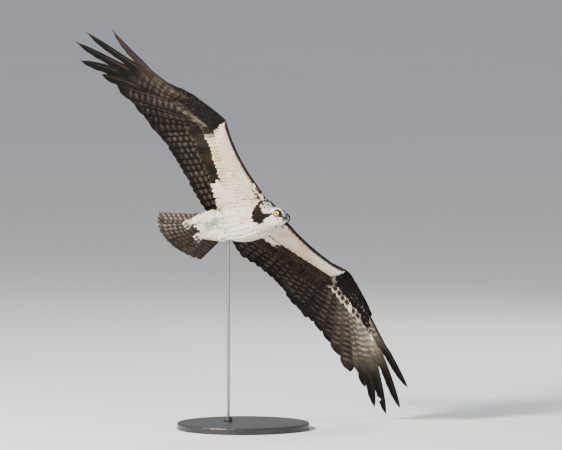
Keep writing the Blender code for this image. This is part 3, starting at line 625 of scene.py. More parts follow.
EYE_BALL = 0.0091
PUPIL, IRIS = 0.40, 0.76
CORNEA_FROM, CORNEA_BULGE = 0.0055, 0.25
GAZE_FORWARD, GAZE_DIP = 34.0, 8.0
LID_FORWARD, LID_OUT = 22.0, 0.0040
LID_REACH, LID_HALF = 0.0090, 0.0018


def settle(shape, name, finish, turn=bird):
    """Makes a piece of a finished bmesh, with its faces pointing outwards."""
    bmesh.ops.recalc_face_normals(shape, faces=shape.faces)
    bmesh.ops.transform(shape, matrix=turn, verts=shape.verts)
    return place_mesh(cast(shape, name), name, finish)


def look_way(side, forward, dip):
    """A direction out of one side of the head, turned forwards and down."""
    turn, down = math.radians(forward), math.radians(dip)
    return Vector((math.sin(turn) * math.cos(down), side * math.cos(turn) * math.cos(down), -math.sin(down)))


eye_glass = Finish("eye_glass", Roughness=0.35, Coat_Weight=0.22, Coat_Roughness=0.03, Specular_IOR_Level=0.2)
ring = eye_glass.read("ring")
rays = eye_glass.calc("MULTIPLY", eye_glass.grain(900.0), 0.2)
iris = eye_glass.blend(eye_glass.ease(ring, PUPIL, IRIS), (1.0, 0.84, 0.0), (0.96, 0.66, 0.0))
iris = eye_glass.blend(rays, iris, (1.0, 0.92, 0.0))
iris = eye_glass.blend(eye_glass.ease(ring, IRIS, IRIS + 0.05), iris, (0.003, 0.002, 0.002))
pupil = eye_glass.ease(ring, PUPIL - 0.05, PUPIL, 1.0, 0.0)
eye_glass.colour(pupil, iris, (0.002, 0.002, 0.002))
lid_skin = Finish("lid_skin", Roughness=0.45, Specular_IOR_Level=0.35)
pores = lid_skin.grain(1500.0)
lid_skin.colour(pores, (0.006, 0.005, 0.005), (0.016, 0.014, 0.013))
lid_skin.emboss(pores, 0.0002, 0.5)

lids = bmesh.new()
for word, side in (("right", -1), ("left", 1)):
    centre = eye_place(side)
    gaze = look_way(side, GAZE_FORWARD, GAZE_DIP)
    shape = bmesh.new()
    bmesh.ops.create_uvsphere(shape, u_segments=32, v_segments=24, radius=EYE_BALL)
    ring = shape.verts.layers.float.new("ring")
    for vert in shape.verts:
        vert[ring] = math.acos(max(min(vert.co.z / EYE_BALL, 1.0), -1.0))
        vert.co.z += CORNEA_BULGE * max(vert.co.z - CORNEA_FROM, 0.0)
    shape.transform(Matrix.Translation(centre) @ gaze.to_track_quat("Z", "Y").to_matrix().to_4x4())
    ball = settle(shape, "eyeball_" + word, eye_glass, bird @ head_turn)
    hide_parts("eye_" + word)
    look = look_way(side, LID_FORWARD, 0.0)
    turn = Matrix.Translation(centre + look * LID_OUT) @ look.to_track_quat("Z", "X").to_matrix().to_4x4()
    profile = bmesh.ops.create_circle(lids, cap_ends=False, segments=8, radius=LID_HALF)["verts"]
    edges = list({edge for vert in profile for edge in vert.link_edges})
    upright = Matrix.Rotation(math.radians(90), 4, "X")
    for vert in profile:
        vert.co = upright @ vert.co
        vert.co.x += LID_REACH
    circle = {"cent": (0, 0, 0), "axis": (0, 0, 1), "angle": 2 * math.pi}
    bmesh.ops.spin(lids, geom=profile + edges, steps=32, use_merge=True, **circle)
    new = {vert for face in lids.faces if not face.tag for vert in face.verts}
    bmesh.ops.transform(lids, matrix=turn, verts=list(new))
    for face in lids.faces:
        face.tag = True
bmesh.ops.remove_doubles(lids, verts=lids.verts, dist=0.000001)
settle(lids, "eyelids", lid_skin, bird @ head_turn)


# The bill: a soft blue-grey cere at the root with a slit of a nostril on each side, then black
# horn that curves down into a long hook over the short lower bill.

# Each station: centre (x, z), tilt downwards, half width, half height
UPPER_BILL = (
    ((0.0285, 0.0016), -2, 0.0098, 0.0078), ((0.0345, 0.0020), 4, 0.0090, 0.0077),
    ((0.0400, 0.0013), 14, 0.0078, 0.0072), ((0.0455, -0.0010), 32, 0.0065, 0.0060),
    ((0.0500, -0.0050), 55, 0.0050, 0.0044), ((0.0525, -0.0100), 75, 0.0036, 0.0031),
    ((0.0533, -0.0155), 90, 0.0022, 0.0020), ((0.0525, -0.0203), 100, 0.0005, 0.0005),
)
LOWER_BILL = (
    ((0.0285, -0.0100), -2, 0.0088, 0.0037), ((0.0360, -0.0098), 6, 0.0074, 0.0033),
    ((0.0425, -0.0104), 16, 0.0052, 0.0026), ((0.0472, -0.0120), 28, 0.0016, 0.0010),
)
NOSTRIL, NOSTRIL_RADIUS, NOSTRIL_DEPTH = Vector((0.0375, 0.0086, 0.0040)), 0.0022, 0.0011
HORN_FROM, HORN_EASE = 0.030, 0.020
SHEATH_POINTS = 28


def curve_table(table, share):
    """Reads a smooth curve through rows of numbers, share 0 to 1 along the rows."""
    spot = share * (len(table) - 1)
    low = min(int(spot), len(table) - 2)
    t = spot - low
    rows = [table[min(max(low + step, 0), len(table) - 1)] for step in (-1, 0, 1, 2)]
    values = []
    for a, b, c, d in zip(*rows):
        values.append(0.5 * (2 * b + (c - a) * t + (2 * a - 5 * b + 4 * c - d) * t * t
                             + (3 * b - a - 3 * c + d) * t * t * t))
    return values


def horn_sheath(stations, steps, flat):
    """A smooth curved cone through the stations; flat squares its underside off."""
    table = [(x, z, tilt, wide, high) for (x, z), tilt, wide, high in stations]
    rings = []
    for step in range(steps + 1):
        x, z, tilt, wide, high = curve_table(table, step / steps)
        down = math.radians(tilt)
        up = Vector((math.sin(down), 0, math.cos(down)))
        ring = []
        for k in range(SHEATH_POINTS):
            angle = 2 * math.pi * k / SHEATH_POINTS
            sine = math.sin(angle)
            if sine < 0:
                sine *= flat
            ridge = 1 - 0.16 * max(sine, 0) ** 2
            ring.append(Vector((x, wide * ridge * math.cos(angle), z)) + up * high * sine)
        rings.append(ring)
    shape = bmesh.new()
    loft(shape, rings)
    return shape


bill_horn = Finish("bill_horn", Roughness=0.36, Coat_Weight=0.08, Coat_Roughness=0.2)
growth = bill_horn.grain(420.0)
horn = bill_horn.blend(bill_horn.ease(growth, 0.4, 0.7), (0.008, 0.008, 0.010), (0.028, 0.028, 0.032))
cere = bill_horn.blend(growth, (0.095, 0.115, 0.130), (0.19, 0.22, 0.235))
edge = bill_horn.calc("ADD", bill_horn.read("horn"), bill_horn.swing(growth, 0.15))
sheath = bill_horn.blend(bill_horn.ease(edge, 0.42, 0.56), cere, horn)
# Inside the nostril the sheath is near-black: painted shade of the opening, over the shallow dent made below.
bill_horn.colour(bill_horn.read("nostril"), sheath, (0.004, 0.004, 0.004))
bill_horn.roughen(edge, 0.42, 0.56, 0.50, 0.30)
bill_horn.emboss(growth, 0.0002, 0.35)

# Each half of the bill: its node, its stations, steps along it, and how flat its underside is
BILL_HALVES = (("bill_upper", UPPER_BILL, 34, 0.80), ("bill_lower", LOWER_BILL, 18, 1.0))
for name, stations, steps, flat in BILL_HALVES:
    shape = horn_sheath(stations, steps, flat)
    horn_layer = shape.verts.layers.float.new("horn")
    nostril_layer = shape.verts.layers.float.new("nostril")
    for vert in shape.verts:
        hook = 0.5 * max(-0.002 - vert.co.z, 0) / 0.010
        vert[horn_layer] = clamp((vert.co.x - HORN_FROM) / HORN_EASE + hook)
        # The nostril is a shallow dent; the near-black stored for it is painted shade of the opening.
        offset = folded(vert.co) - NOSTRIL
        if name == "bill_upper" and offset.y > -0.004:
            hollow = 1 - smooth(math.hypot(offset.x, offset.z * 2.0) / NOSTRIL_RADIUS)
            vert[nostril_layer] = smooth(hollow * 1.6)
            vert.co.y -= math.copysign(NOSTRIL_DEPTH * hollow, vert.co.y)
    horn_piece = settle(shape, name + "_horn", bill_horn, bird @ head_turn)
    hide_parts(name)


# The flight feathers: ten primaries on each hand and fifteen secondaries and tertials on each
# arm, stiff vanes on a horny shaft. Each is rooted in the flesh and overlaps the next.

# How much of its cell of the map a vane fills, and how far its rim spreads past that
CELL_FILL, RIM_SPREAD = 0.80, 1.14
VANE_STEP = 0.0011
draw = random.Random(7)


def own_shade():
    """How much darker or paler one feather is than its neighbours."""
    return draw.uniform(-0.05, 0.05)


class Vanes:
    """Gathers the vanes of one piece, then gives them thickness, colour and a map."""

    def __init__(self):
        self.shape = bmesh.new()
        layers = self.shape.verts.layers
        self.along = layers.float.new("along")
        self.across = layers.float.new("across")
        self.reach = layers.float.new("reach")
        self.barb = layers.float.new("barb")
        self.number = layers.int.new("number")
        self.under = layers.int.new("under")
        self.stored = [layers.float.new(word) for word in ("dark", "warm", "bar")]
        self.sheet = self.shape.loops.layers.uv.new("OFBake")
        self.tones = []

    def lay(self, bend, tone, cross, steps, length):
        """Bends a flat grid: bend(along, across) gives a place, tone its colour."""
        shift = draw.uniform(-0.002, 0.002)
        made = bmesh.ops.create_grid(self.shape, x_segments=cross, y_segments=steps, size=0.5)["verts"]
        for vert in made:
            across, share = vert.co.x * 2, vert.co.y + 0.5
            along = 1 - (1 - share) ** 1.5
            vert[self.along], vert[self.across] = along, across
            vert[self.reach], vert[self.number] = (1 - along) * length + shift, len(self.tones)
            vert.co = bend(along, across)
            vert[self.barb] = along * length - 0.8 * (vert.co - bend(along, 0.0)).length
        self.tones.append(tone)

    def make(self, name, finish, thickness=0.0005):
        """Makes a piece of the vanes laid so far."""
        shape = self.shape
        made = bmesh.ops.extrude_face_region(shape, geom=shape.faces[:], use_keep_orig=True)["geom"]
        for vert in made:
            if isinstance(vert, bmesh.types.BMVert):
                vert.co.z -= thickness
                vert[self.under] = 1
        for vert in shape.verts:
            tone = self.tones[vert[self.number]]
            values = tone(vert[self.along], vert[self.across], vert[self.under], vert.co)
            for layer, value in zip(self.stored, values):
                vert[layer] = value
        self.unwrap()
        return settle(shape, name, finish)

    def unwrap(self):
        """Each vane's two faces get a cell each of a square map; the rim spreads round them."""
        columns = math.ceil(math.sqrt(2 * len(self.tones)))
        for face in self.shape.faces:
            below = [vert[self.under] for vert in face.verts]
            rim = any(below) and not all(below)
            cell = 2 * face.verts[0][self.number] + (1 if all(below) else 0)
            centre = Vector((cell % columns + 0.5, cell // columns + 0.5))
            for loop in face.loops:
                vert = loop.vert
                offset = Vector((vert[self.across] / 2, vert[self.along] - 0.5)) * CELL_FILL
                if rim and vert[self.under]:
                    offset *= RIM_SPREAD
                loop[self.sheet].uv = (centre + offset) / columns


def blade(along, root_part, round_from):
    """The width of a vane along its length, from a narrow root to a rounded tip."""
    width = root_part + (1 - root_part) * smooth(along / 0.35)
    if along > round_from:
        past = (along - round_from) / (1 - round_from)
        width *= math.sqrt(max(1 - past * past, 0.0))
    return max(width, 0.03)


def leaf(front, back, root_part, round_from):
    """The widths of a vane to the front and to the back of its shaft."""
    def widths(along):
        width = blade(along, root_part, round_from)
        return front * width, back * width

    return widths


def run(first, last):
    """A number that goes evenly from one at a feather's root to another at its tip."""
    return lambda along: first + (last - first) * along


def even(number):
    """The same number all along a feather."""
    return lambda along: number


def stepped(first, last):
    """The slope of vanes that lie on each other, with their shafts first to last apart."""
    apart = run(first, last)
    return lambda along: VANE_STEP / apart(along)


def flat_vane(wing, root, tip, widths, lift, slope, surface, bend=0.0, bow=0.0, cup=0.0):
    """Returns how a vane lies over the plan; widths, lift and slope vary along it."""
    axis = tip - root
    lead = -rear_of(axis.normalized())

    def place(along, across):
        leading, trailing = widths(along)
        offset = leading * across if across > 0 else trailing * across
        spot = root + axis * along + lead * (offset + bow * 4 * along * (1 - along))
        spot -= axis * 0.02 * abs(across) ** 3 * (1 - blade(along, 1.0, 0.9))
        z = surface(spot) + lift(along) + slope(along) * offset
        z += bend * axis.length * (along * along - along) - cup * across * across
        return Vector((spot.x, wing["side"] * spot.y, z))

    return place


# Full widths of each primary's leading and trailing vane, and where its fingered tip begins
PRIMARY_VANES = (
    (0.013, 0.040, 0.97), (0.013, 0.033, 0.97), (0.013, 0.034, 0.97), (0.013, 0.034, 0.97),
    (0.013, 0.034, 0.95), (0.012, 0.033, 0.82), (0.010, 0.034, 0.70), (0.010, 0.034, 0.63),
    (0.009, 0.032, 0.58), (0.006, 0.022, 0.54),
)
FIRST_FINGER = 5
# Widths of the narrow outer part of each fingered primary, leading and trailing vane
FINGER_VANES = {
    -1: ((0.0095, 0.0185), (0.0095, 0.0185), (0.0085, 0.0175), (0.0078, 0.0160), (0.0100, 0.0140)),
    1: ((0.0095, 0.0195), (0.0095, 0.0195), (0.0095, 0.0195), (0.0095, 0.0190), (0.0095, 0.0180)),
}
BITTEN_FEATHER, BITE_PLACE, BITE_HALF = ("left", 7), 0.86, 0.011
PRIMARY_TOP, SECONDARY_TOP = 0.81, 0.75
QUILL_STEPS, QUILL_SIDES, QUILL_END = 12, 6, 0.97


def primary_widths(wing, k, broken):
    """The widths of primary k; broken is how far along a bite is missing from the vane, if any."""
    leading, trailing, notch = PRIMARY_VANES[k]
    finger_front, finger_back = FINGER_VANES[wing["side"]][max(k - FIRST_FINGER, 0)]
    wave = draw.uniform(0, 6)

    def widths(along):
        front = leading * (0.25 + 0.75 * smooth(along / 0.25))
        back = trailing * (0.2 + 0.8 * smooth(along / 0.3))
        if k >= FIRST_FINGER:
            narrow = smooth((along - notch + 0.03) / 0.08)
            back += (finger_back - back) * narrow
            front += (finger_front - front) * narrow
            past = max((along - notch) / (1 - notch), 0.0)
            back *= max(1 - past ** 4.2, 0.06)
            front *= max(1 - past ** 3.0, 0.06)
            if broken:
                back *= 1 - 0.8 * math.exp(-((along - broken) / BITE_HALF) ** 2)
        else:
            front *= blade(along, 1.0, 0.86)
            back *= blade(along, 1.0, 0.86)
        ragged = 0.0007 * math.sin(along * 70 + wave) * smooth(along * 4 - 1)
        return front, back + ragged

    return widths


def inner_web(across):
    """Strongest in the middle of the part of a vane that shows below, nothing at its edges."""
    return math.exp(-((across + 0.42) / 0.36) ** 2)


def primary_tone(wing, k):
    """Dark tips, pale barred inner parts on the fingered primaries, dark on the others. The two hands differ
    by painted light: the left hand is painted paler, as if in sun, and the right darker, as painted shade.
    """
    right = wing["side"] < 0
    notch = PRIMARY_VANES[k][2]
    shade = draw.uniform(-0.04, 0.04)

    def fingered(along, across, mottle):
        finger = smooth((along - notch + 0.15) / (0.17 if right else 0.30))
        # The fingered primaries' bases are paler, with stronger bars, on the left hand than on the right:
        # painted sunlight on the left hand and painted shade on the right.
        pale = (0.85 if right else 0.70 - 0.06 * min(k - FIRST_FINGER, 2)) + mottle * (1.6 if right else 1.0)
        dark = pale + shade + (1.08 - pale) * finger
        if k == 9:
            dark = max(dark, 0.92 * smooth((across - 0.05) / 0.3)) - 0.20 * finger * right
        bar = (0.13 if right else 0.18) * inner_web(across * 0.8 + 0.1)
        tan = (0.16 if right else 0.34) * finger * smooth((across + 0.4) / 0.5)
        tan *= 1 - smooth((along - notch) / 0.2)
        return dark, tan, bar * (1 - smooth((along - notch + 0.16) / 0.1))

    def inner(along, across, mottle):
        # The inner primaries: the left hand's are paler and grow paler outwards, darkest next to the body, as
        # painted light and shade on that hand; the right hand's are darker and nearly even, as painted shade.
        dark = 0.92 - 0.01 * k if right else 0.88 - 0.032 * k
        dark += shade + mottle + 0.08 * smooth((along - 0.40) / 0.4) + 0.08 * smooth((along - 0.88) / 0.06)
        bar = 0.02 + 0.19 * inner_web(across) * (1 + 4 * mottle)
        return dark, 0.0, bar * (1 - smooth((along - 0.88) / 0.05))

    def tone(along, across, under, spot):
        if not under:
            return PRIMARY_TOP + shade, 0.0, 0.0
        mottle = 0.10 * noise.noise(Vector((along * 9, across * 1.5, k * 3.7 + wing["side"])))
        dark, tan, bar = (fingered if k >= FIRST_FINGER else inner)(along, across, mottle)
        return dark + 0.08 * smooth((-0.80 - across) / 0.15), tan, bar

    return tone


def secondary_tone(shade):
    """Dark with faint bars below, and a thin pale edge at the tip."""
    def tone(along, across, under, spot):
        if not under:
            fringe = 0.25 * smooth((along - 0.965) / 0.03)
            return SECONDARY_TOP + shade - fringe, 0.05, 0.0
        edge = 0.06 * smooth((-0.80 - across) / 0.15)
        mottle = 0.10 * noise.noise(Vector((along * 9, across * 1.5, shade * 200)))
        dark = 0.94 + shade + mottle + 0.05 * smooth((along - 0.85) / 0.06) + edge
        dark -= 0.20 * smooth((along - 0.988) / 0.012)
        bar = (0.02 + 0.25 * inner_web(across) * (1 + 4 * mottle)) * (1 - smooth((along - 0.85) / 0.04))
        return dark, 0.03, bar

    return tone


def hoop(centre, ahead, radius, sides, start=0.0):
    """A ring of points round a place, square to the way ahead."""
    turn = ahead.to_track_quat("Z", "Y").to_matrix()
    angles = [start + 2 * math.pi * k / sides for k in range(sides)]
    return [centre + turn @ Vector((math.cos(angle), math.sin(angle), 0)) * radius for angle in angles]


def quill(shafts, place, thick):
    """A feather's shaft: a tapering rod along the middle of its vane, standing out below."""
    rings = []
    for step in range(QUILL_STEPS + 1):
        along = QUILL_END * step / QUILL_STEPS
        radius = thick * (1 - 0.85 * along)
        centre = place(along, 0.0) - Vector((0, 0, 0.0003 + 0.5 * radius))
        ahead = place(min(along + 0.01, 1.0), 0.0) - place(max(along - 0.01, 0.0), 0.0)
        rings.append(hoop(centre, ahead, radius, QUILL_SIDES, math.pi / QUILL_SIDES))
    loft(shafts, rings)


PRIMARIES, SECONDARIES = 10, 15
SECONDARY_ROOT_DEPTH = 0.55
barred_finish = plumage("barred_feathers", 120.0, barred=True)
shaft_horn = Finish("feather_shaft", Roughness=0.55, Specular_IOR_Level=0.2)
tint = shaft_horn.ease(shaft_horn.grain(60.0), 0.35, 0.65)
shaft_horn.colour(tint, (0.020, 0.013, 0.009), (0.065, 0.042, 0.026))

for word, wing in WINGS.items():
    height = plane_height(wing)
    shafts = bmesh.new()
    vanes = Vanes()
    for k in range(PRIMARIES):
        root, tip = primary_ends(wing, k)
        widths = primary_widths(wing, k, BITE_PLACE if (word, k) == BITTEN_FEATHER else 0.0)
        slope = stepped(QUILL_SPACING, 0.036 if k < FIRST_FINGER else 0.055)
        bend, bow = wing["primary_bend"][k], wing["primary_bow"][k]
        place = flat_vane(wing, root, tip, widths, even(0.0), slope, height, bend, bow)
        vanes.lay(place, primary_tone(wing, k), 8, 34, (tip - root).length)
        quill(shafts, place, 0.0014)
    hand = vanes.make("primaries_" + word, barred_finish)
    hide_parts("wing_hand_" + word)
    vanes = Vanes()
    for k in range(SECONDARIES):
        share = (k + 0.5) / (SECONDARIES - 0.5)
        root, tip = arm_point(wing, share, SECONDARY_ROOT_DEPTH), rear_tip(wing, share)
        tip = tip + Vector((draw.uniform(-0.0015, 0.0015), draw.uniform(-0.001, 0.001)))
        widths = leaf(0.012, 0.022, 0.3, 0.90)
        place = flat_vane(wing, root, tip, widths, even(0.0), stepped(0.016, 0.022), height)
        vanes.lay(place, secondary_tone(own_shade()), 6, 22, (tip - root).length)
        quill(shafts, place, 0.0010)
    arm = vanes.make("secondaries_" + word, barred_finish)
    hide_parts("wing_arm_" + word)
    settle(shafts, "wing_shafts_" + word, shaft_horn)


# The wing coverts: tiers of smaller feathers that close the wing above and below, each tier's
# tips lying over the roots of the next. Below they are white at the arm, with a dark band of
# greater coverts and a blackish patch at the wrist; above they are brown with pale fringes.

# How dark each kind of covert is above and the greater ones below
ARM_COVERT_TOP, HAND_COVERT_TOP, GREATER_UNDER = 0.73, 0.76, 0.90


def covering(word, below):
    """The height of the wing's flesh, seen from below or above, over the plan."""
    wing, tree = WINGS[word], wing_trees[word]
    height = plane_height(wing)
    way = Vector((0, 0, 1 if below else -1))

    def flesh_at(x, y):
        hit = tree.ray_cast(Vector((x, wing["side"] * y, -0.3 if below else 0.4)), way)[0]
        return hit.z if hit else height((x, y))

    def surface(spot):
        x, y = spot
        return 0.5 * flesh_at(x, y) + 0.25 * (flesh_at(x - 0.004, y) + flesh_at(x + 0.004, y))

    return surface


def blotched(shade, along, across, more):
    """Soft dark blotches, other ones on each feather."""
    return smooth(noise.noise(Vector((shade * 90, along * 3.2, across * 0.8))) * 1.8 + more)


def arm_tone(wing, below, tier, shade, middle):
    """White below in front of the wing's white line, dark behind it; brown above."""
    line = along_table(WHITE_LINE[wing["side"]], middle.y) - middle.x
    past = line + shade * (0.03 if wing["side"] > 0 else 0.08)

    def tone(along, across, under, spot):
        if not below:
            fringe = 0.30 * smooth((along - 0.90) / 0.08)
            return ARM_COVERT_TOP + shade - fringe, 0.10, 0.0
        plan = Vector((spot.x, abs(spot.y)))
        front = leading_edge(wing, plan.y) - plan.x
        rim = max(smooth((along - 0.92) / 0.05), 0.6 * smooth((abs(across) - 0.78) / 0.15))
        if tier == "greater":
            dark = GREATER_UNDER + 0.12 * blotched(shade, along, across, 0.62) + shade - 0.24 * rim
        else:
            pale = 0.15 + 0.09 * noise.noise(Vector((shade * 120, along * 2.0, across)))
            dark = pale + 0.76 * smooth(past / 0.004 + 0.5)
            dark = max(dark, 0.92 * (1 - smooth((front - 0.0022) / 0.002)))
            patchy = smooth(noise.noise(spot * 130) * 1.6 + 0.75) * (1 - smooth((plan.y - 0.060) / 0.045))
            dark = max(dark, 0.82 * patchy * (1 - smooth((front - 0.013) / 0.006)))
            dark -= 0.22 * rim * (past > 0)
        near_line = math.exp(-((past + 0.012) / 0.014) ** 2) * (plan.y < 0.27)
        warm = 0.34 * near_line * smooth(noise.noise(spot * 90) + 0.5) + 0.10 * rim
        warm += 0.13 + 0.36 * smooth(noise.noise(spot * 34 + Vector((3, 0, 0))) * 1.8 + 0.35)
        return dark, warm, 0.0

    return tone


def hand_tone(wing, below, tier, shade, middle):
    """A blackish patch behind the wrist, then pale coverts with a dark oval each; on the right hand the pale
    is greyed with painted shade.
    """
    right = wing["side"] < 0
    reach, depth = hand_place(wing, middle)
    patch_depth = 0.046 - 0.20 * max(reach - 0.10, 0) + 0.016 * (1 - smooth(reach / 0.03))
    patch = smooth((patch_depth - depth + shade * 0.08) / 0.004 + 0.5)
    patch *= smooth((0.190 - reach) / 0.010 + 0.5)
    # The right hand's ground is grey and more clouded where the left's is near white: painted shade on the
    # right hand's under coverts.
    ground_and_painted_shade, cloud, oval_width, flecks = (0.66, 0.24, 0.95, 0.3) if right else (0.20, 0.10, 0.74, 0.7)
    oval_place = 0.74 if tier == "greater" else 0.80

    def outside_patch(along, across, reach, spot):
        dark = 0.0
        if tier in ("greater", "median"):
            ring = math.hypot(across / oval_width, (along - oval_place) / 0.15)
            dark = 0.92 * (1 - smooth((ring - 0.75) / 0.3)) * (shade > -0.035)
        if tier == "greater":
            blotch = 0.74 + 0.22 * blotched(shade, along, across, 0.7) - 0.28 * smooth((along - 0.92) / 0.05)
            dark = max(dark, smooth((0.055 - reach) / 0.025) * blotch)
        if right:
            dark = max(dark, 0.86 * smooth((noise.noise(spot * 95) - 0.02) / 0.14))
        return dark

    def tone(along, across, under, spot):
        if not below:
            fringe = 0.28 * smooth((along - 0.92) / 0.06)
            return HAND_COVERT_TOP + shade - fringe, 0.05, 0.0
        reach, depth = hand_place(wing, Vector((spot.x, abs(spot.y))))
        pale = ground_and_painted_shade + cloud * noise.noise(spot * 60)
        dark = pale + (0.98 - pale) * patch
        dark = max(dark, 0.94 * (1 - smooth((depth - 0.003) / 0.002)))
        if patch < 0.5:
            dark = max(dark, outside_patch(along, across, reach, spot))
        speck = smooth((noise.noise(spot * 210) - 0.40) / 0.08) * smooth((reach - 0.05) / 0.05)
        rim = 0.10 * smooth((along - 0.90) / 0.06) * patch
        return dark + shade * 0.5 - flecks * speck * patch - rim, 0.10 * (1 - patch), 0.0

    return tone


def lay_covert(vanes, wing, surface, root, tip, half, below, lifts, tone, grid):
    """One covert that starts in the flesh and rises towards its tip."""
    away = -1 if below else 1
    lift = run(away * lifts[0], away * lifts[1])
    widths = leaf(half, half, 0.55, 0.62)
    place = flat_vane(wing, root, tip, widths, lift, even(0.035), surface, cup=away * 0.0006)
    vanes.lay(place, tone, *grid, (tip - root).length)


# Each tier of the arm: name, depth of its roots and tips, count, lifts at root and tip
ARM_TIERS = (
    ("greater", 0.66, 1.46, 19, (-0.0008, 0.0040)),
    ("median", 0.50, 1.16, 22, (-0.0010, 0.0050)),
    ("lesser", 0.36, 0.86, 24, (-0.0012, 0.0036)),
    ("lesser", 0.24, 0.64, 26, (-0.0010, 0.0030)),
    ("lesser", 0.12, 0.47, 28, (-0.0010, 0.0026)),
    ("lesser", 0.03, 0.31, 30, (-0.0008, 0.0022)),
    ("marginal", -0.01, 0.16, 34, (-0.0004, 0.0014)),
)
# Each tier of the hand: name, distance of the roots behind the edge, length, count, lifts
HAND_TIERS = (
    ("greater", 0.032, 0.074, 13, (0.0012, 0.0052)),
    ("median", 0.022, 0.052, 15, (0.0004, 0.0054)),
    ("lesser", 0.013, 0.040, 17, (-0.0004, 0.0042)),
    ("lesser", 0.005, 0.032, 20, (-0.0004, 0.0022)),
    ("marginal", 0.000, 0.020, 26, (-0.0004, 0.0012)),
)
HAND_COVERED, ARM_COVERED = 0.166, 0.25
COVERT_THICKNESS = 0.0004


def hand_covert(wing, share, first, length):
    """Root and tip of a covert on the hand, for a share of the way out along its edge."""
    behind = rear_of(heading_vector(wing["hand_edge_heading"]))
    inner, outer = primary_ends(wing, min(14.0 * share, 9.0))
    along = ((outer - inner).normalized() + behind * 0.22 * share).normalized()
    narrow = 1 - 0.55 * smooth((share - 0.45) / 0.5)
    depth = first * narrow + 0.008 * smooth((share - 0.6) / 0.4)
    root = hand_edge(wing, HAND_COVERED * share - 0.003) + behind * depth
    return root, root + along * length * (1 + 0.25 * share)


covert_finish = plumage("covert_feathers", 300.0)

for word, wing in WINGS.items():
    for below in (True, False):
        surface = covering(word, below)
        vanes = Vanes()
        for tier, first, last, count, lifts in ARM_TIERS:
            spacing = ARM_COVERED / count
            half = spacing * (0.78 if tier == "greater" else 0.92)
            grid = (4, 9) if spacing > 0.011 else (4, 7)
            for k in range(count):
                share = 0.06 + 0.95 * (k + 0.5 + draw.uniform(-0.12, 0.12)) / count
                root = arm_point(wing, share, first)
                tip = arm_point(wing, share, last + draw.uniform(-0.03, 0.03))
                tip.y -= 0.004
                tone = arm_tone(wing, below, tier, own_shade(), root.lerp(tip, 0.7))
                lay_covert(vanes, wing, surface, root, tip, half, below, lifts, tone, grid)
        for tier, first, last, count, lifts in HAND_TIERS:
            for k in range(count):
                share = (k + 0.3 + draw.uniform(-0.1, 0.1)) / count
                root, tip = hand_covert(wing, share, first, last * draw.uniform(0.95, 1.05))
                tone = hand_tone(wing, below, tier, own_shade(), root.lerp(tip, 0.6))
                half = (HAND_COVERED / count) * 0.95 * (1 - 0.40 * share)
                lay_covert(vanes, wing, surface, root, tip, half, below, lifts, tone, (4, 10))
        name = "coverts_%s_%s" % ("under" if below else "upper", word)
        vanes.make(name, covert_finish, COVERT_THICKNESS)


# The tail: twelve barred feathers in a shallow fan, the middle pair on top, each with a thin
# shaft. Their roots lie in the rump, under white coverts below and brown ones above.

TAIL_ROOT_X, TAIL_ROOT_HEIGHT = -0.125, 0.011
TAIL_LENGTH, TAIL_ROUNDING = 0.200, 0.036
TAIL_SPREAD = (-23.0, 27.5)
TAIL_ROOT_WIDTH = 0.060
TAIL_DROOP = math.tan(math.radians(3.9))
TAIL_FEATHERS, TAIL_FEATHER_HALF = 12, 0.0155
TAIL_TOP, TAIL_UNDER = 0.69, 0.72
MIDLINE = {"side": 1}


def tail_height(spot):
    return TAIL_ROOT_HEIGHT + (spot[0] - TAIL_ROOT_X) * TAIL_DROOP


def rectrix_tone(shade, painted_shade):
    """Brown with paler bars on both webs, and a pale tip; the second number darkens a feather and fades its
    bars, as painted shade.
    """
    def tone(along, across, under, spot):
        if not under:
            return TAIL_TOP + shade - 0.3 * smooth((along - 0.97) / 0.03), 0.08, 0.12
        mottle = 0.12 * noise.noise(Vector((along * 7, across * 1.5, shade * 200)))
        dark = TAIL_UNDER + shade + painted_shade + mottle + 0.06 * smooth(abs(across) - 0.4)
        dark -= 0.34 * smooth((along - 0.970) / 0.02)
        web = math.exp(-((abs(across) - 0.45) / 0.34) ** 2)
        bar = (0.04 + 0.24 * web) * max(1 + 5 * mottle, 0.2) * (1 - 4 * painted_shade)
        return dark, 0.03, bar * (1 - smooth((along - 0.91) / 0.04))

    return tone


vanes = Vanes()
shafts = bmesh.new()
for k in range(TAIL_FEATHERS):
    share = k / (TAIL_FEATHERS - 1)
    angle = math.radians(TAIL_SPREAD[0] + (TAIL_SPREAD[1] - TAIL_SPREAD[0]) * share)
    length = TAIL_LENGTH + TAIL_ROUNDING * math.sin(math.pi * share) + draw.uniform(-0.002, 0.002)
    rank = abs(k - (TAIL_FEATHERS - 1) / 2) * 2 + (1 if k < TAIL_FEATHERS / 2 else 0)
    root = Vector((TAIL_ROOT_X - 0.006, TAIL_ROOT_WIDTH * (share - 0.5)))
    tip = Vector((TAIL_ROOT_X - length * math.cos(angle), length * math.sin(angle)))
    widths = leaf(TAIL_FEATHER_HALF, TAIL_FEATHER_HALF, 0.3, 0.93)
    lift = run(0.004 - 0.0009 * rank, 0.001 - 0.0005 * rank)
    place = flat_vane(MIDLINE, root, tip, widths, lift, even(VANE_STEP), tail_height, cup=0.0004)
    # Feathers towards the bird's left side of the fan are given painted shade: darker, with fainter bars.
    tone = rectrix_tone(own_shade(), 0.14 * smooth((share - 0.3) / 0.4))
    vanes.lay(place, tone, 6, 26, length)
    quill(shafts, place, 0.0009)
rectrices = vanes.make("tail_feathers", barred_finish)
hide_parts("tail")
settle(shafts, "tail_shafts", shaft_horn)


# Under and upper tail coverts, the long white axillaries where the wing meets the side, and the
# small stiff alula at each wrist. They close the gaps between the big feathers and the body.


def simple_tone(dark, warm, fringe=0.0):
    """One tone all over, with a paler tip if it has a fringe."""
    def tone(along, across, under, spot):
        return dark - fringe * smooth((along - 0.88) / 0.1) + 0.02 * noise.noise(spot * 200), warm, 0.0

    return tone


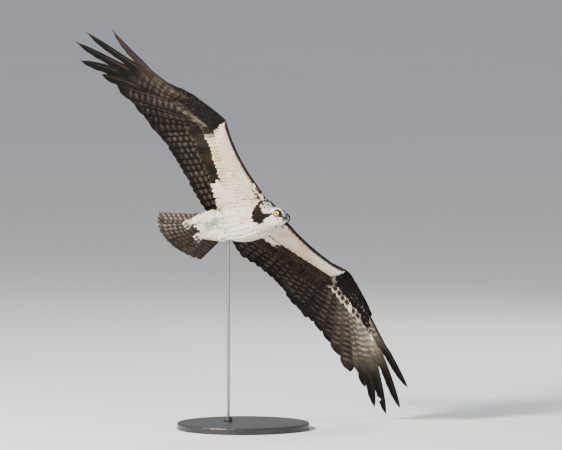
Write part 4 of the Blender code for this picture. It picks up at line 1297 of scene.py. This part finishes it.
def rump_height(spot, away):
    """How far the coverts at the tail's root stand off it, so that they run on from the body."""
    x, y = spot
    round_off = max(1 - (y / 0.042) ** 2, 0.0) ** 0.8
    if away > 0:
        return 0.0215 * smooth((x + 0.185) / 0.095) * round_off
    return 0.040 * smooth((x + 0.190) / 0.110) * round_off


# Each row of tail coverts: where it starts and ends along the bird from the tail's root, and count
TAIL_COVERT_ROWS = (
    (0.012, -0.092, 9), (0.022, -0.070, 10), (0.034, -0.046, 10), (0.046, -0.022, 9), (0.058, 0.000, 8),
)
TAIL_COVERT_HALF, TAIL_COVERT_TOP = 0.0096, 0.75
AXILLARIES, AXILLARY_HALF = 22, 0.0085
ALULA_FEATHERS = 4
BODY_SLOPE = 0.05

vanes = Vanes()
for below in (True, False):
    away = -1 if below else 1
    for row, (first, last, count) in enumerate(TAIL_COVERT_ROWS):
        for k in range(count):
            share = (k + 0.5) / count
            angle = math.radians(-26 + 56 * share)
            root = Vector((TAIL_ROOT_X + first, 0.046 * (share - 0.5)))
            way = Vector((-math.cos(angle * 0.7), math.sin(angle * 0.7)))
            tip = root + way * (first - last + draw.uniform(-0.004, 0.004))

            def lift(along):
                return away * (0.0030 + 0.0016 * row - 0.006 * (1 - smooth(along / 0.25)))

            def surface(spot):
                return tail_height(spot) + away * rump_height(spot, away)

            widths = leaf(TAIL_COVERT_HALF, TAIL_COVERT_HALF, 0.5, 0.6)
            place = flat_vane(MIDLINE, root, tip, widths, lift, even(BODY_SLOPE), surface, cup=away * 0.0012)
            if below:
                tone = simple_tone(0.05 + 0.05 * draw.random(), 0.08)
            else:
                tone = simple_tone(TAIL_COVERT_TOP + own_shade(), 0.08, 0.3)
            vanes.lay(place, tone, 4, 9, (tip - root).length)
vanes.make("tail_coverts", covert_finish, COVERT_THICKNESS)

for word, wing in WINGS.items():
    surface = covering(word, True)
    height = plane_height(wing)
    vanes = Vanes()
    for k in range(AXILLARIES):
        row = k % 2
        share = (k // 2 + 0.5 * row) / 10.5
        root = Vector((0.050 - 0.045 * share - 0.02 * row, 0.040 + 0.052 * share))
        tip_x = (-0.084 if wing["side"] < 0 else -0.040) + 0.036 * share + 0.030 * row
        tip = Vector((tip_x, 0.042 + 0.092 * share + draw.uniform(-0.003, 0.003)))

        def lift(along):
            arch = 0.0030 * math.sin(math.pi * along * 0.8)
            return -(0.0016 + arch + 0.0022 * row + 0.003 * (1 - share) * along)

        widths = leaf(AXILLARY_HALF, AXILLARY_HALF, 0.45, 0.6)
        place = flat_vane(wing, root, tip, widths, lift, even(BODY_SLOPE), surface, cup=-0.0012)
        tone = simple_tone(0.08 + 0.08 * draw.random(), 0.10 + 0.25 * draw.random())
        vanes.lay(place, tone, 4, 14, (tip - root).length)
    for k in range(ALULA_FEATHERS):
        edge = hand_edge(wing, 0.004 + 0.006 * k)
        way = heading_vector(wing["hand_edge_heading"] - 2 * k)
        root = edge + rear_of(way) * 0.009
        tip = edge + rear_of(way) * (0.013 + 0.003 * k) + way * (0.078 - 0.014 * k)
        widths, lift = leaf(0.006, 0.009, 0.5, 0.75), run(0.0052 + 0.0010 * k, 0.0022 + 0.0010 * k)
        place = flat_vane(wing, root, tip, widths, lift, even(BODY_SLOPE), height)
        vanes.lay(place, simple_tone(0.90, 0.0, 0.12), 4, 12, (tip - root).length)
    vanes.make("axillaries_" + word, covert_finish, COVERT_THICKNESS)


# The scapulars: long brown feathers that close the joint of each wing with the back and run back
# over the innermost secondaries, three rows of nine, the lowest row underneath.

SCAPULAR_ROWS, SCAPULARS = 3, 9
SCAPULAR_HALF, SCAPULAR_TOP = 0.0096, 0.74
OVER_WING = 0.0042


def shoulder_surface(wing):
    """The top of back or wing, whichever is higher."""
    height = plane_height(wing)
    down = Vector((0, 0, -1))

    def surface(spot):
        heights = []
        for shift in (-0.006, 0.0, 0.006):
            hit = skin_tree.ray_cast(Vector((spot[0] + shift, wing["side"] * spot[1], 0.4)), down)[0]
            heights.append(max(hit.z if hit else -1.0, height(spot) + OVER_WING))
        return sum(heights) / 3

    return surface


for word, wing in WINGS.items():
    surface = shoulder_surface(wing)
    vanes = Vanes()
    for row in reversed(range(SCAPULAR_ROWS)):
        for k in range(SCAPULARS):
            root = Vector((0.078 - 0.0145 * k - 0.004 * row, 0.022 + 0.011 * row))
            length = 0.046 + 0.0045 * k + draw.uniform(-0.004, 0.004)
            tip = root + Vector((-length, 0.004 + 0.005 * row + 0.0008 * k))

            def lift(along):
                return -0.0010 + (0.0030 + 0.0006 * (2 - row)) * smooth(along / 0.5)

            widths = leaf(SCAPULAR_HALF, SCAPULAR_HALF, 0.5, 0.6)
            place = flat_vane(wing, root, tip, widths, lift, even(BODY_SLOPE), surface, cup=0.0014)
            tone = simple_tone(SCAPULAR_TOP + own_shade(), 0.08, 0.28)
            vanes.lay(place, tone, 4, 10, length)
    vanes.make("scapulars_" + word, covert_finish, COVERT_THICKNESS)


# The feet, tucked back and clenched: bare cream toes with rough grey scales, three in front and
# one behind, each bent at a thick knuckle and ending in a long black claw that curls under.

# Each leg's knee and ankle
LEGS = {
    "right": (Vector((-0.112, -0.054, -0.024)), Vector((-0.158, -0.050, -0.026))),
    "left": (Vector((-0.100, 0.000, -0.042)), Vector((-0.142, -0.002, -0.040))),
}
DOWN = Vector((0, 0, -1))
CLAW_CURL, CLAW_RADIUS = math.radians(140), 0.0108
THINNEST = 0.0001


def limb(shape, path, radii, sides, steps):
    """A bent tapering limb through a few points, with a radius at each."""
    table = [(*point, radius) for point, radius in zip(path, radii)]
    rings = []
    for step in range(steps + 1):
        x, y, z, radius = curve_table(table, step / steps)
        ahead = Vector(curve_table(table, min((step + 0.5) / steps, 1.0))[:3])
        behind = Vector(curve_table(table, max((step - 0.5) / steps, 0.0))[:3])
        rings.append(hoop(Vector((x, y, z)), ahead - behind, max(radius, THINNEST), sides))
    loft(shape, rings)


toe_skin = Finish("scaly_toes", Roughness=0.55, Specular_IOR_Level=0.35)
scales = toe_skin.add("ShaderNodeTexVoronoi", {"Vector": toe_skin.place(), "Scale": 620.0})
cream = toe_skin.blend(toe_skin.grain(240.0), (0.56, 0.50, 0.38), (0.80, 0.73, 0.58))
toe_skin.colour(toe_skin.ease(scales, 0.25, 0.75), cream, (0.22, 0.23, 0.22))
toe_skin.emboss(toe_skin.calc("SUBTRACT", 1.0, scales), 0.0006, 0.7)
claw_horn = Finish("claw_horn", Roughness=0.35, Coat_Weight=0.12, Coat_Roughness=0.2, Specular_IOR_Level=0.3)
ridges = claw_horn.grain(500.0)
claw_horn.colour(ridges, (0.004, 0.004, 0.004), (0.018, 0.016, 0.015))
claw_horn.roughen(ridges, 0.2, 0.8, 0.30, 0.45)

claws = bmesh.new()
for word, (knee, ankle) in LEGS.items():
    along = (ankle - knee).normalized()
    across = along.cross(DOWN).normalized()
    shape = bmesh.new()
    heel = ankle - along * 0.004
    limb(shape, (heel, ankle + along * 0.008, ankle + along * 0.015), (0.0066, 0.0080, 0.0050), 16, 10)
    toes = []
    for spread in (-0.42, 0.0, 0.42):
        way = (along + across * spread).normalized()
        base = ankle + along * 0.008
        toes.append((base, base + way * 0.018, base + way * 0.024 + DOWN * 0.011, way, DOWN, 0.0053))
    base = ankle + along * 0.006 + DOWN * 0.002
    toes.append((base, base + DOWN * 0.007, base + DOWN * 0.012 + along * 0.004, DOWN, along, 0.0046))
    for base, knuckle, end, way, curl, thick in toes:
        path = (base, base.lerp(knuckle, 0.5), knuckle, knuckle.lerp(end, 0.5), end, end + way * 0.0012)
        radii = [thick * swell for swell in (1.0, 0.84, 0.98, 0.76, 0.82, 0.45)]
        limb(shape, path, radii, 12, 20)
        points = []
        for k in range(5):
            angle = CLAW_CURL * k / 4
            bent = way * math.sin(angle) + curl * (1 - math.cos(angle))
            points.append(end - way * 0.002 + bent * CLAW_RADIUS)
        limb(claws, points, (0.0029, 0.0026, 0.0019, 0.0011, 0.0003), 12, 14)
    foot = settle(shape, "toes_" + word, toe_skin)
    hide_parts("foot_" + word)
settle(claws, "claws", claw_horn)


# The small feathers of head, neck, body and legs: thousands of thin leaves that lie back from
# the bill along the skin, shortest round the eyes and longest on the belly.

TUFT_PATCH = 0.003
# How long the feathers of the legs are, and how many times prouder they stand
LEG_FEATHER, LEG_FLUFF = 0.0125, 4.2
COAT_EDGE = 0.064
HEAD_BACK, CERE_EDGE, LID_EDGE = -0.030, 0.0292, 0.0103
CROWD_CELL = 0.0016
LEAF_CURVE_STEPS = 4
LEAF_THICKNESS = 0.00022


def coat_length(place):
    """How long the small feathers are at a place of the body."""
    local = from_head @ place
    if local.x > HEAD_BACK:
        near_bill = (local - Vector((0.030, 0, -0.004))).length
        return 0.0030 + 0.0060 * smooth((near_bill - 0.006) / 0.045)
    behind = (place - BILL_ROOT).length
    length = 0.009 + 0.013 * smooth((behind - 0.055) / 0.11)
    return LEG_FEATHER if on_leg(place) else length


def on_leg(place):
    return place.x < -0.045 and place.z < 0.0 and skin_reach(place) > 0.004


def skin_reach(place):
    """How far a place lies outside the torso's own shape, for telling the legs from it."""
    share = smooth((place.x + 0.125) / 0.11)
    half_wide, half_high = 0.036 + 0.023 * share, 0.023 + 0.034 * share
    return (math.hypot(place.y / half_wide, (place.z - 0.006 * (1 - share)) / half_high) - 1) * half_high


def leaf_form():
    """One small feather as points (along, across, height) and faces, two rings and two ends."""
    shape = bmesh.new()
    bmesh.ops.create_uvsphere(shape, u_segments=4, v_segments=5, radius=1.0)
    points = [((1 - vert.co.z) / 2, vert.co.x, vert.co.y) for vert in shape.verts]
    faces = [tuple(vert.index for vert in face.verts) for face in shape.faces]
    shape.free()
    return points, faces


def crowded(cells, cell, spot, spacing):
    """Whether a place chosen before lies within the spacing."""
    span = int(spacing / CROWD_CELL) + 1
    around = [range(number - span, number + span + 1) for number in cell]
    for near in itertools.product(*around):
        for other in cells.get(near, ()):
            if (other - spot).length_squared < spacing * spacing:
                return True
    return False


def scatter(keep, spacing_share, seed):
    """Places on the skin that are about a spacing apart, with their normals and lengths."""
    pick = random.Random(seed)
    cells, chosen = {}, []
    for polygon in skin_mesh_bird.polygons:
        centre = polygon.center
        if not keep(centre):
            continue
        corners = [skin_mesh_bird.vertices[number].co for number in polygon.vertices]
        length = coat_length(centre)
        spacing = length * spacing_share
        wanted = polygon.area / (spacing * spacing) * 5.0
        for step in range(int(wanted + pick.random())):
            a, b = pick.random(), pick.random()
            if a + b > 1:
                a, b = 1 - a, 1 - b
            first = corners[0]
            corner = pick.randrange(1, len(corners) - 1)
            spot = first + (corners[corner] - first) * a + (corners[corner + 1] - first) * b
            cell = tuple(int(math.floor(value / CROWD_CELL)) for value in spot)
            if not crowded(cells, cell, spot, spacing):
                cells.setdefault(cell, []).append(spot)
                chosen.append((spot, polygon.normal.copy(), length))
    return chosen


def unwrap_place(spot):
    """Where a root lies on a map of the body, rolled off round its long axis."""
    angle = math.atan2(spot.y, -spot.z) / (2 * math.pi) + 0.5
    return Vector((0.02 + 0.96 * angle, 0.02 + 0.96 * (spot.x + 0.17) / 0.37))


def skin_stations(root, flow, reach):
    """Places down the skin under a leaf, each with the skin's normal there."""
    stations = []
    for step in range(LEAF_CURVE_STEPS + 1):
        found, up, *_ = skin_tree.find_nearest(root + flow * reach * (step / LEAF_CURVE_STEPS))
        stations.append((found, up))
    return stations


def lay_coat(name, keep, spacing_share, seed, broad, proud):
    """Lays a leaf at each scattered place, bent along the skin and overlapping those behind."""
    pick = random.Random(seed + 100)
    form, form_faces = leaf_form()
    points, faces, darks, warms, barbs, sheet = [], [], [], [], [], []
    for root, normal, length in scatter(keep, spacing_share, seed):
        away = root - BILL_ROOT
        away.y *= 0.6
        flow = away - normal * away.dot(normal)
        if flow.length < 0.001:
            continue
        flow.normalize()
        sideways = normal.cross(flow)
        flow = (flow + sideways * pick.uniform(-0.16, 0.16)).normalized()
        reach = length * pick.uniform(0.85, 1.15) * 1.45
        stations = skin_stations(root, flow, reach)
        if min(up.dot(normal) for found, up in stations) < 0.25:
            continue
        dark, warm = markings(stations[3][0])
        dark += pick.uniform(-0.03, 0.03)
        warm *= pick.uniform(0.7, 1.3)
        half = reach * broad * pick.uniform(0.9, 1.1)
        start = len(points)
        patch = unwrap_place(root)
        stand = proud * (LEG_FLUFF if on_leg(root) else 1.0) * (length / 0.012) ** 0.5
        for along, across, tall in form:
            spot = min(along, 0.999) * LEAF_CURVE_STEPS
            low = int(spot)
            base = stations[low][0].lerp(stations[low + 1][0], spot - low)
            up = stations[low][1].lerp(stations[low + 1][1], spot - low)
            spread = half * (0.85 + 0.30 * along)
            rise = stand * (-0.35 + 1.35 * smooth(along * 1.25)) - 0.10 * spread * across ** 2
            rise += LEAF_THICKNESS * (1.2 - along) * tall
            points.append(base + sideways * across * spread + up * rise)
            # Dark leaves get paler tips, their own fringes; the part of every leaf near its root is a little
            # darker, as painted shade where the leaf in front lies over it.
            darks.append(dark - 0.12 * smooth((along - 0.6) / 0.3) * (dark > 0.4) + 0.02 * (along < 0.4))
            warms.append(warm)
            barbs.append(along * reach - 0.8 * abs(across) * spread)
            sheet.append(patch + Vector((across, along * 2 - 1 + 0.2 * tall)) * TUFT_PATCH / 2)
        faces.extend(tuple(start + number for number in face) for face in form_faces)
    mesh = bpy.data.meshes.new(name)
    mesh.from_pydata(points, [], faces)
    for word, values in (("dark", darks), ("warm", warms), ("barb", barbs)):
        mesh.attributes.new(word, "FLOAT", "POINT").data.foreach_set("value", values)
    layer = mesh.uv_layers.new(name="OFBake")
    for loop in mesh.loops:
        layer.uv[loop.index].vector = sheet[loop.vertex_index]
    mesh.transform(bird)
    place_mesh(mesh, name, coat_finish)


def off_bill_and_eyes(centre):
    """The coat stops short of the cere and of the lids."""
    local = from_head @ centre
    return local.x < CERE_EDGE and (folded(local) - EYE).length > LID_EDGE


def on_head(centre):
    return (from_head @ centre).x > HEAD_BACK and centre.x > 0.11 and off_bill_and_eyes(centre)


def on_body(centre):
    return (from_head @ centre).x <= HEAD_BACK and abs(centre.y) < COAT_EDGE


coat_finish = plumage("small_feathers", 300.0)
lay_coat("head_feathers", on_head, 0.25, 11, 0.19, 0.0008)
lay_coat("body_feathers", on_body, 0.20, 12, 0.20, 0.0009)


# The studio: a wide pale floor, a soft key light from the upper left, a fill from the right and
# below, and a camera at the photograph's angle, far off with a long lens.

CAMERA_ELEVATION = 4.0
CAMERA_DISTANCE = 20.0
SENSOR_WIDTH = 36.0
PICTURE_WIDTH, PICTURE_HEIGHT = 562, 450
PIXELS_PER_METRE = 349.72
BODY_PIXEL = (243.2, 220.35)
LENS = SENSOR_WIDTH * CAMERA_DISTANCE * PIXELS_PER_METRE / PICTURE_WIDTH
FLOOR_RADIUS, FLOOR_GAP = 90.0, 0.0005

rise = math.radians(CAMERA_ELEVATION)
back = Vector((0, -math.cos(rise), math.sin(rise)))
up = Vector((0, math.sin(rise), math.cos(rise)))
right = Vector((1, 0, 0))
aim = Vector(TORSO_PLACE)
aim += right * (PICTURE_WIDTH / 2 - BODY_PIXEL[0]) / PIXELS_PER_METRE
aim -= up * (PICTURE_HEIGHT / 2 - BODY_PIXEL[1]) / PIXELS_PER_METRE
camera_data = bpy.data.cameras.new("camera")
camera_data.lens = LENS
camera_data.sensor_width = SENSOR_WIDTH
camera_data.clip_end = 200.0
camera = show("camera", camera_data)
camera.location = aim + back * CAMERA_DISTANCE
camera.rotation_euler = (math.radians(90 - CAMERA_ELEVATION), 0, 0)
bpy.context.scene.camera = camera

floor_shape = bmesh.new()
bmesh.ops.create_circle(floor_shape, cap_ends=True, segments=96, radius=FLOOR_RADIUS)
floor = show("floor", cast(floor_shape, "floor"))
floor.location.z = -FLOOR_GAP
floor_paint = Finish("pale_floor", Roughness=0.9)
floor_paint.colour(floor_paint.grain(0.4), (0.82, 0.83, 0.85), (0.85, 0.86, 0.88))
floor.data.materials.append(floor_paint.material)

world = bpy.data.worlds.new("studio")
bpy.context.scene.world = world
world.use_nodes = True
background = world.node_tree.nodes["Background"]
background.inputs["Color"].default_value = (0.83, 0.86, 0.90, 1.0)
background.inputs["Strength"].default_value = 0.50


def soft_light(name, place, size, power, colour):
    data = bpy.data.lights.new(name, "AREA")
    data.shape = "DISK"
    data.size, data.energy, data.color = size, power, colour
    lamp = show(name, data)
    lamp.location = place
    lamp.rotation_euler = (Vector(TORSO_PLACE) - Vector(place)).to_track_quat("-Z", "Y").to_euler()
    lamp.visible_camera = False


soft_light("key", (-3.3, -2.7, 3.0), 0.9, 700.0, (1.0, 0.94, 0.85))
soft_light("fill", (3.2, -3.0, 0.5), 2.2, 32.0, (0.94, 0.97, 1.0))
soft_light("rim", (1.8, 3.2, 2.6), 1.4, 90.0, (1.0, 0.98, 0.95))
